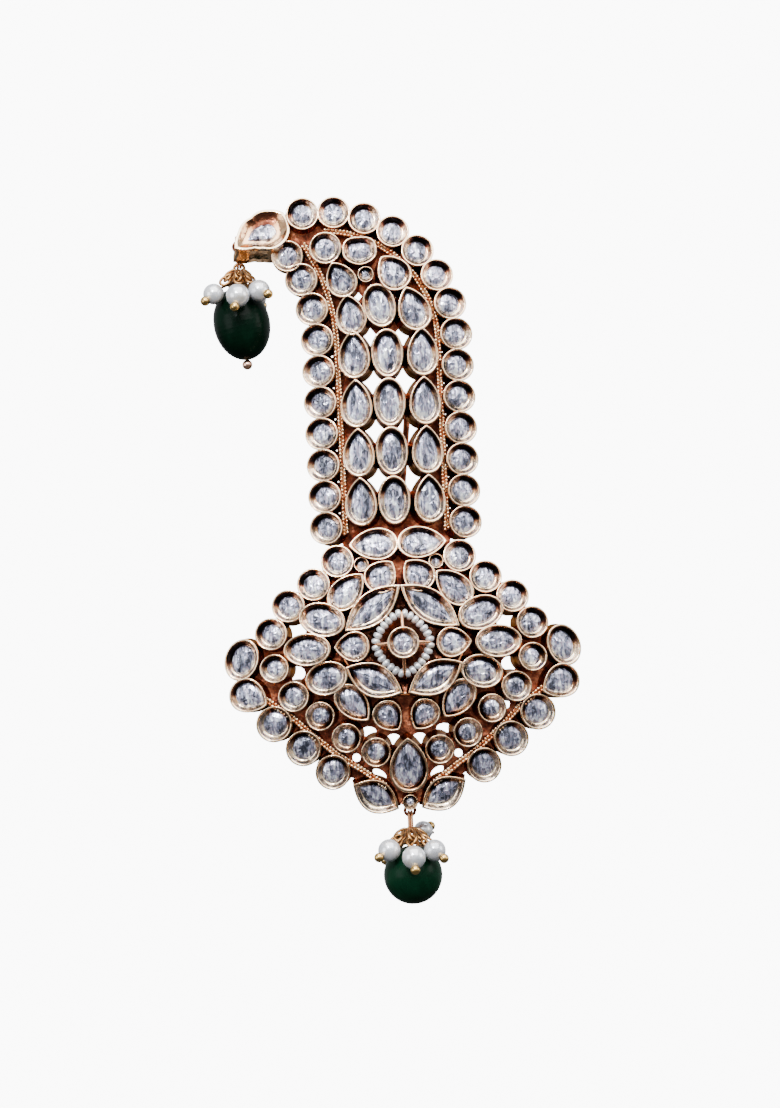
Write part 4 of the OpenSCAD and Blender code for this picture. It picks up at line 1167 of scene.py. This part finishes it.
class KALGI_OT_pendants(bpy.types.Operator):
    """Gives the pendants' solids their finishes, and adds their double rings, ball heads, loops and windings"""
    bl_idname = "kalgi.pendants"
    bl_label = "Pendants"

    def execute(self, context):
        looks = {"upper_wires": "wire", "lower_wires": "wire", "upper_drop": "drop", "lower_bead": "bead",
                 "back_pin": "copper"}
        looks |= {f"{side}_pearl_{k}": "pearl" for side in PENDANTS for k in range(1, 7)}
        for node, name in looks.items():
            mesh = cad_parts[node].data
            mesh.materials.clear()
            mesh.materials.append(finish(name))
        for side, (axis, top, *_) in PENDANTS.items():
            put(side + "_double_ring", double_ring(axis, top), side + "_link", "rose",
                replaces=(side + "_ring",))
        across, down = END_BALL_DOWN * math.sin(DROP_LEAN), END_BALL_DOWN * math.cos(DROP_LEAN)
        end = UPPER_AXIS + [across, 0, DROP_HEIGHT - down]
        put("upper_end_ball", balls([end], END_BALL_RADIUS, 16, 28), "upper_pendant", "pink")
        for side, (axis, _, rows, wound, loops) in PENDANTS.items():
            body = side + "_pendant"
            put(side + "_ball_heads", head_balls(rows, axis), body, "yellow")
            put(side + "_winding", merged([winding(axis, *wound), pin_loops(rows, axis, *loops)]), body, "wire")
        return {"FINISHED"}


# The sweep behind and under the brooch, in metres: half its width, its front, the rounded corner's middle and
# radius, the wall's top, and the floor's level
SWEEP_HALF, SWEEP_FRONT, CORNER_Y, CORNER_RADIUS, WALL_HIGH, FLOOR = 3.2, -3.0, 1.0, 0.25, 1.9, -0.55
# What the camera and the lights look at
AIM = Vector((-0.0045, -0.012, -0.0247))
# The height of the photograph in pixels, and the size of one at the brooch
PHOTO_PIXELS, PIXEL = 1108, 0.18 * MM
# Shades of the surroundings from low to high
SKY = ((0.0, 0.16), (0.12, 0.9), (0.8, 1.0))


def pale_sweep():
    """Floor and wall: a line of floor, a quarter circle and a line of wall, carried from left to right."""
    a = np.linspace(0, np.pi / 2, 13)
    corner = np.stack([CORNER_Y + CORNER_RADIUS * np.sin(a), CORNER_RADIUS * (1 - np.cos(a))], -1)
    line = np.concatenate([[(SWEEP_FRONT, 0), (-1.2, 0)], corner, [(CORNER_Y + CORNER_RADIUS, WALL_HIGH)]])
    x = np.linspace(-SWEEP_HALF, SWEEP_HALF, 17)
    n = len(line)
    points = np.c_[np.repeat(x, n), np.tile(line + [0, FLOOR], (len(x), 1))]
    k = np.arange((len(x) - 1) * n).reshape(-1, n)[:, :-1].ravel()
    mesh = bpy.data.meshes.new("pale_sweep")
    mesh.from_pydata(points.tolist(), [], np.stack([k, k + n, k + n + 1, k + 1], -1).tolist())
    mesh.materials.append(finish("stage"))
    glow = np.tile(np.clip((line[:, 1] - 0.05) / 0.2, 0, 1), len(x))
    mesh.attributes.new("wall", "FLOAT", "POINT").data.foreach_set("value", glow.astype(np.float32))
    sweep = bpy.data.objects.new("pale_sweep", mesh)
    bpy.context.scene.collection.objects.link(sweep)
    sweep.visible_glossy = sweep.visible_diffuse = False


def surroundings(strength):
    """A plain gradient, dark below and nearly white from a little above level."""
    world = bpy.data.worlds.new("studio")
    sky = Nodes(world)
    where = sky.node("ShaderNodeTexCoord").outputs["Generated"]
    height = Level(sky, sky.node("ShaderNodeSeparateXYZ", None, {0: where}).outputs["Z"])
    colour = sky.ramp(height + 0.25, [(place, (shade * 0.96, shade * 0.98, shade)) for place, shade in SKY])
    background = sky.tree.nodes["Background"]
    sky.tree.links.new(colour, background.inputs[0])
    background.inputs[1].default_value = strength
    bpy.context.scene.world = world


def lamp(name, place, size, power, tint):
    """A square light that faces the brooch."""
    light = bpy.data.lights.new(name, "AREA")
    light.shape, light.size, light.energy, light.color = "SQUARE", size, power, tint
    holder = bpy.data.objects.new(name, light)
    holder.location = place
    holder.rotation_euler = (AIM - Vector(place)).to_track_quat("-Z", "Y").to_euler()
    bpy.context.scene.collection.objects.link(holder)


def camera(look):
    """The camera at the photograph's angle, a distance from the brooch and rolled about its own axis. Its lens
    makes the photograph's height fill the picture."""
    az, el = look.azimuth, look.elevation
    forward = Vector((-math.sin(az) * math.cos(el), math.cos(az) * math.cos(el), -math.sin(el)))
    right = forward.cross(Vector((0, 0, 1))).normalized()
    up = right.cross(forward)
    turned_right = right * math.cos(look.roll) - up * math.sin(look.roll)
    turned_up = right * math.sin(look.roll) + up * math.cos(look.roll)
    data = bpy.data.cameras.new("camera")
    data.lens = 36 * look.distance / (PHOTO_PIXELS * PIXEL)
    data.clip_start, data.clip_end = 0.05, 10
    holder = bpy.data.objects.new("camera", data)
    basis = Matrix((turned_right, turned_up, -forward)).transposed().to_4x4()
    holder.matrix_world = Matrix.Translation(AIM - forward * look.distance) @ basis
    bpy.context.scene.collection.objects.link(holder)
    bpy.context.scene.camera = holder


class KALGI_OT_stage(bpy.types.Operator):
    """Makes the pale floor and wall, the lights and the camera"""
    bl_idname = "kalgi.stage"
    bl_label = "Stage"

    def execute(self, context):
        look = context.scene.kalgi_stage
        pale_sweep()
        surroundings(look.world)
        lamp("key", (0.08, -0.5, 0.66), 1.1, look.key, (1, 0.98, 0.95))
        lamp("spark", (-0.2, -0.7, 0.42), 0.12, look.spark, (0.95, 0.97, 1))
        lamp("fill", (-0.75, -0.5, 0.05), 0.5, look.fill, (0.95, 0.97, 1))
        lamp("side", (0.8, -0.25, 0.2), 0.4, look.fill * 0.8, (1, 0.97, 0.94))
        camera(look)
        return {"FINISHED"}


OPERATORS = (KALGI_OT_column, KALGI_OT_plaque, KALGI_OT_flower, KALGI_OT_strips, KALGI_OT_stones,
             KALGI_OT_pendants, KALGI_OT_stage)
GROUPS = {"kalgi_collets": KalgiCollets, "kalgi_metal": KalgiMetal, "kalgi_stone": KalgiStone,
          "kalgi_pearl": KalgiPearl, "kalgi_stage": KalgiStage}


class KALGI_PT_panel(bpy.types.Panel):
    """Lists the brooch's pieces and settings"""
    bl_label = "Kalgi brooch"
    bl_idname = "KALGI_PT_panel"
    bl_space_type = "VIEW_3D"
    bl_region_type = "UI"
    bl_category = "Kalgi"

    def draw(self, context):
        for operator in OPERATORS:
            self.layout.operator(operator.bl_idname)
        for key, group in GROUPS.items():
            box = self.layout.box()
            box.label(text=group.__doc__)
            for name in group.__annotations__:
                box.prop(getattr(context.scene, key), name)


def register():
    for cls in (*GROUPS.values(), *OPERATORS, KALGI_PT_panel):
        bpy.utils.register_class(cls)
    for key, group in GROUPS.items():
        setattr(bpy.types.Scene, key, PointerProperty(type=group))


def unregister():
    for key in GROUPS:
        delattr(bpy.types.Scene, key)
    for cls in (KALGI_PT_panel, *reversed(OPERATORS), *GROUPS.values()):
        bpy.utils.unregister_class(cls)


def main():
    register()
    for operator in OPERATORS:
        group, name = operator.bl_idname.split(".")
        getattr(getattr(bpy.ops, group), name)()


if __name__ == "__main__":
    main()
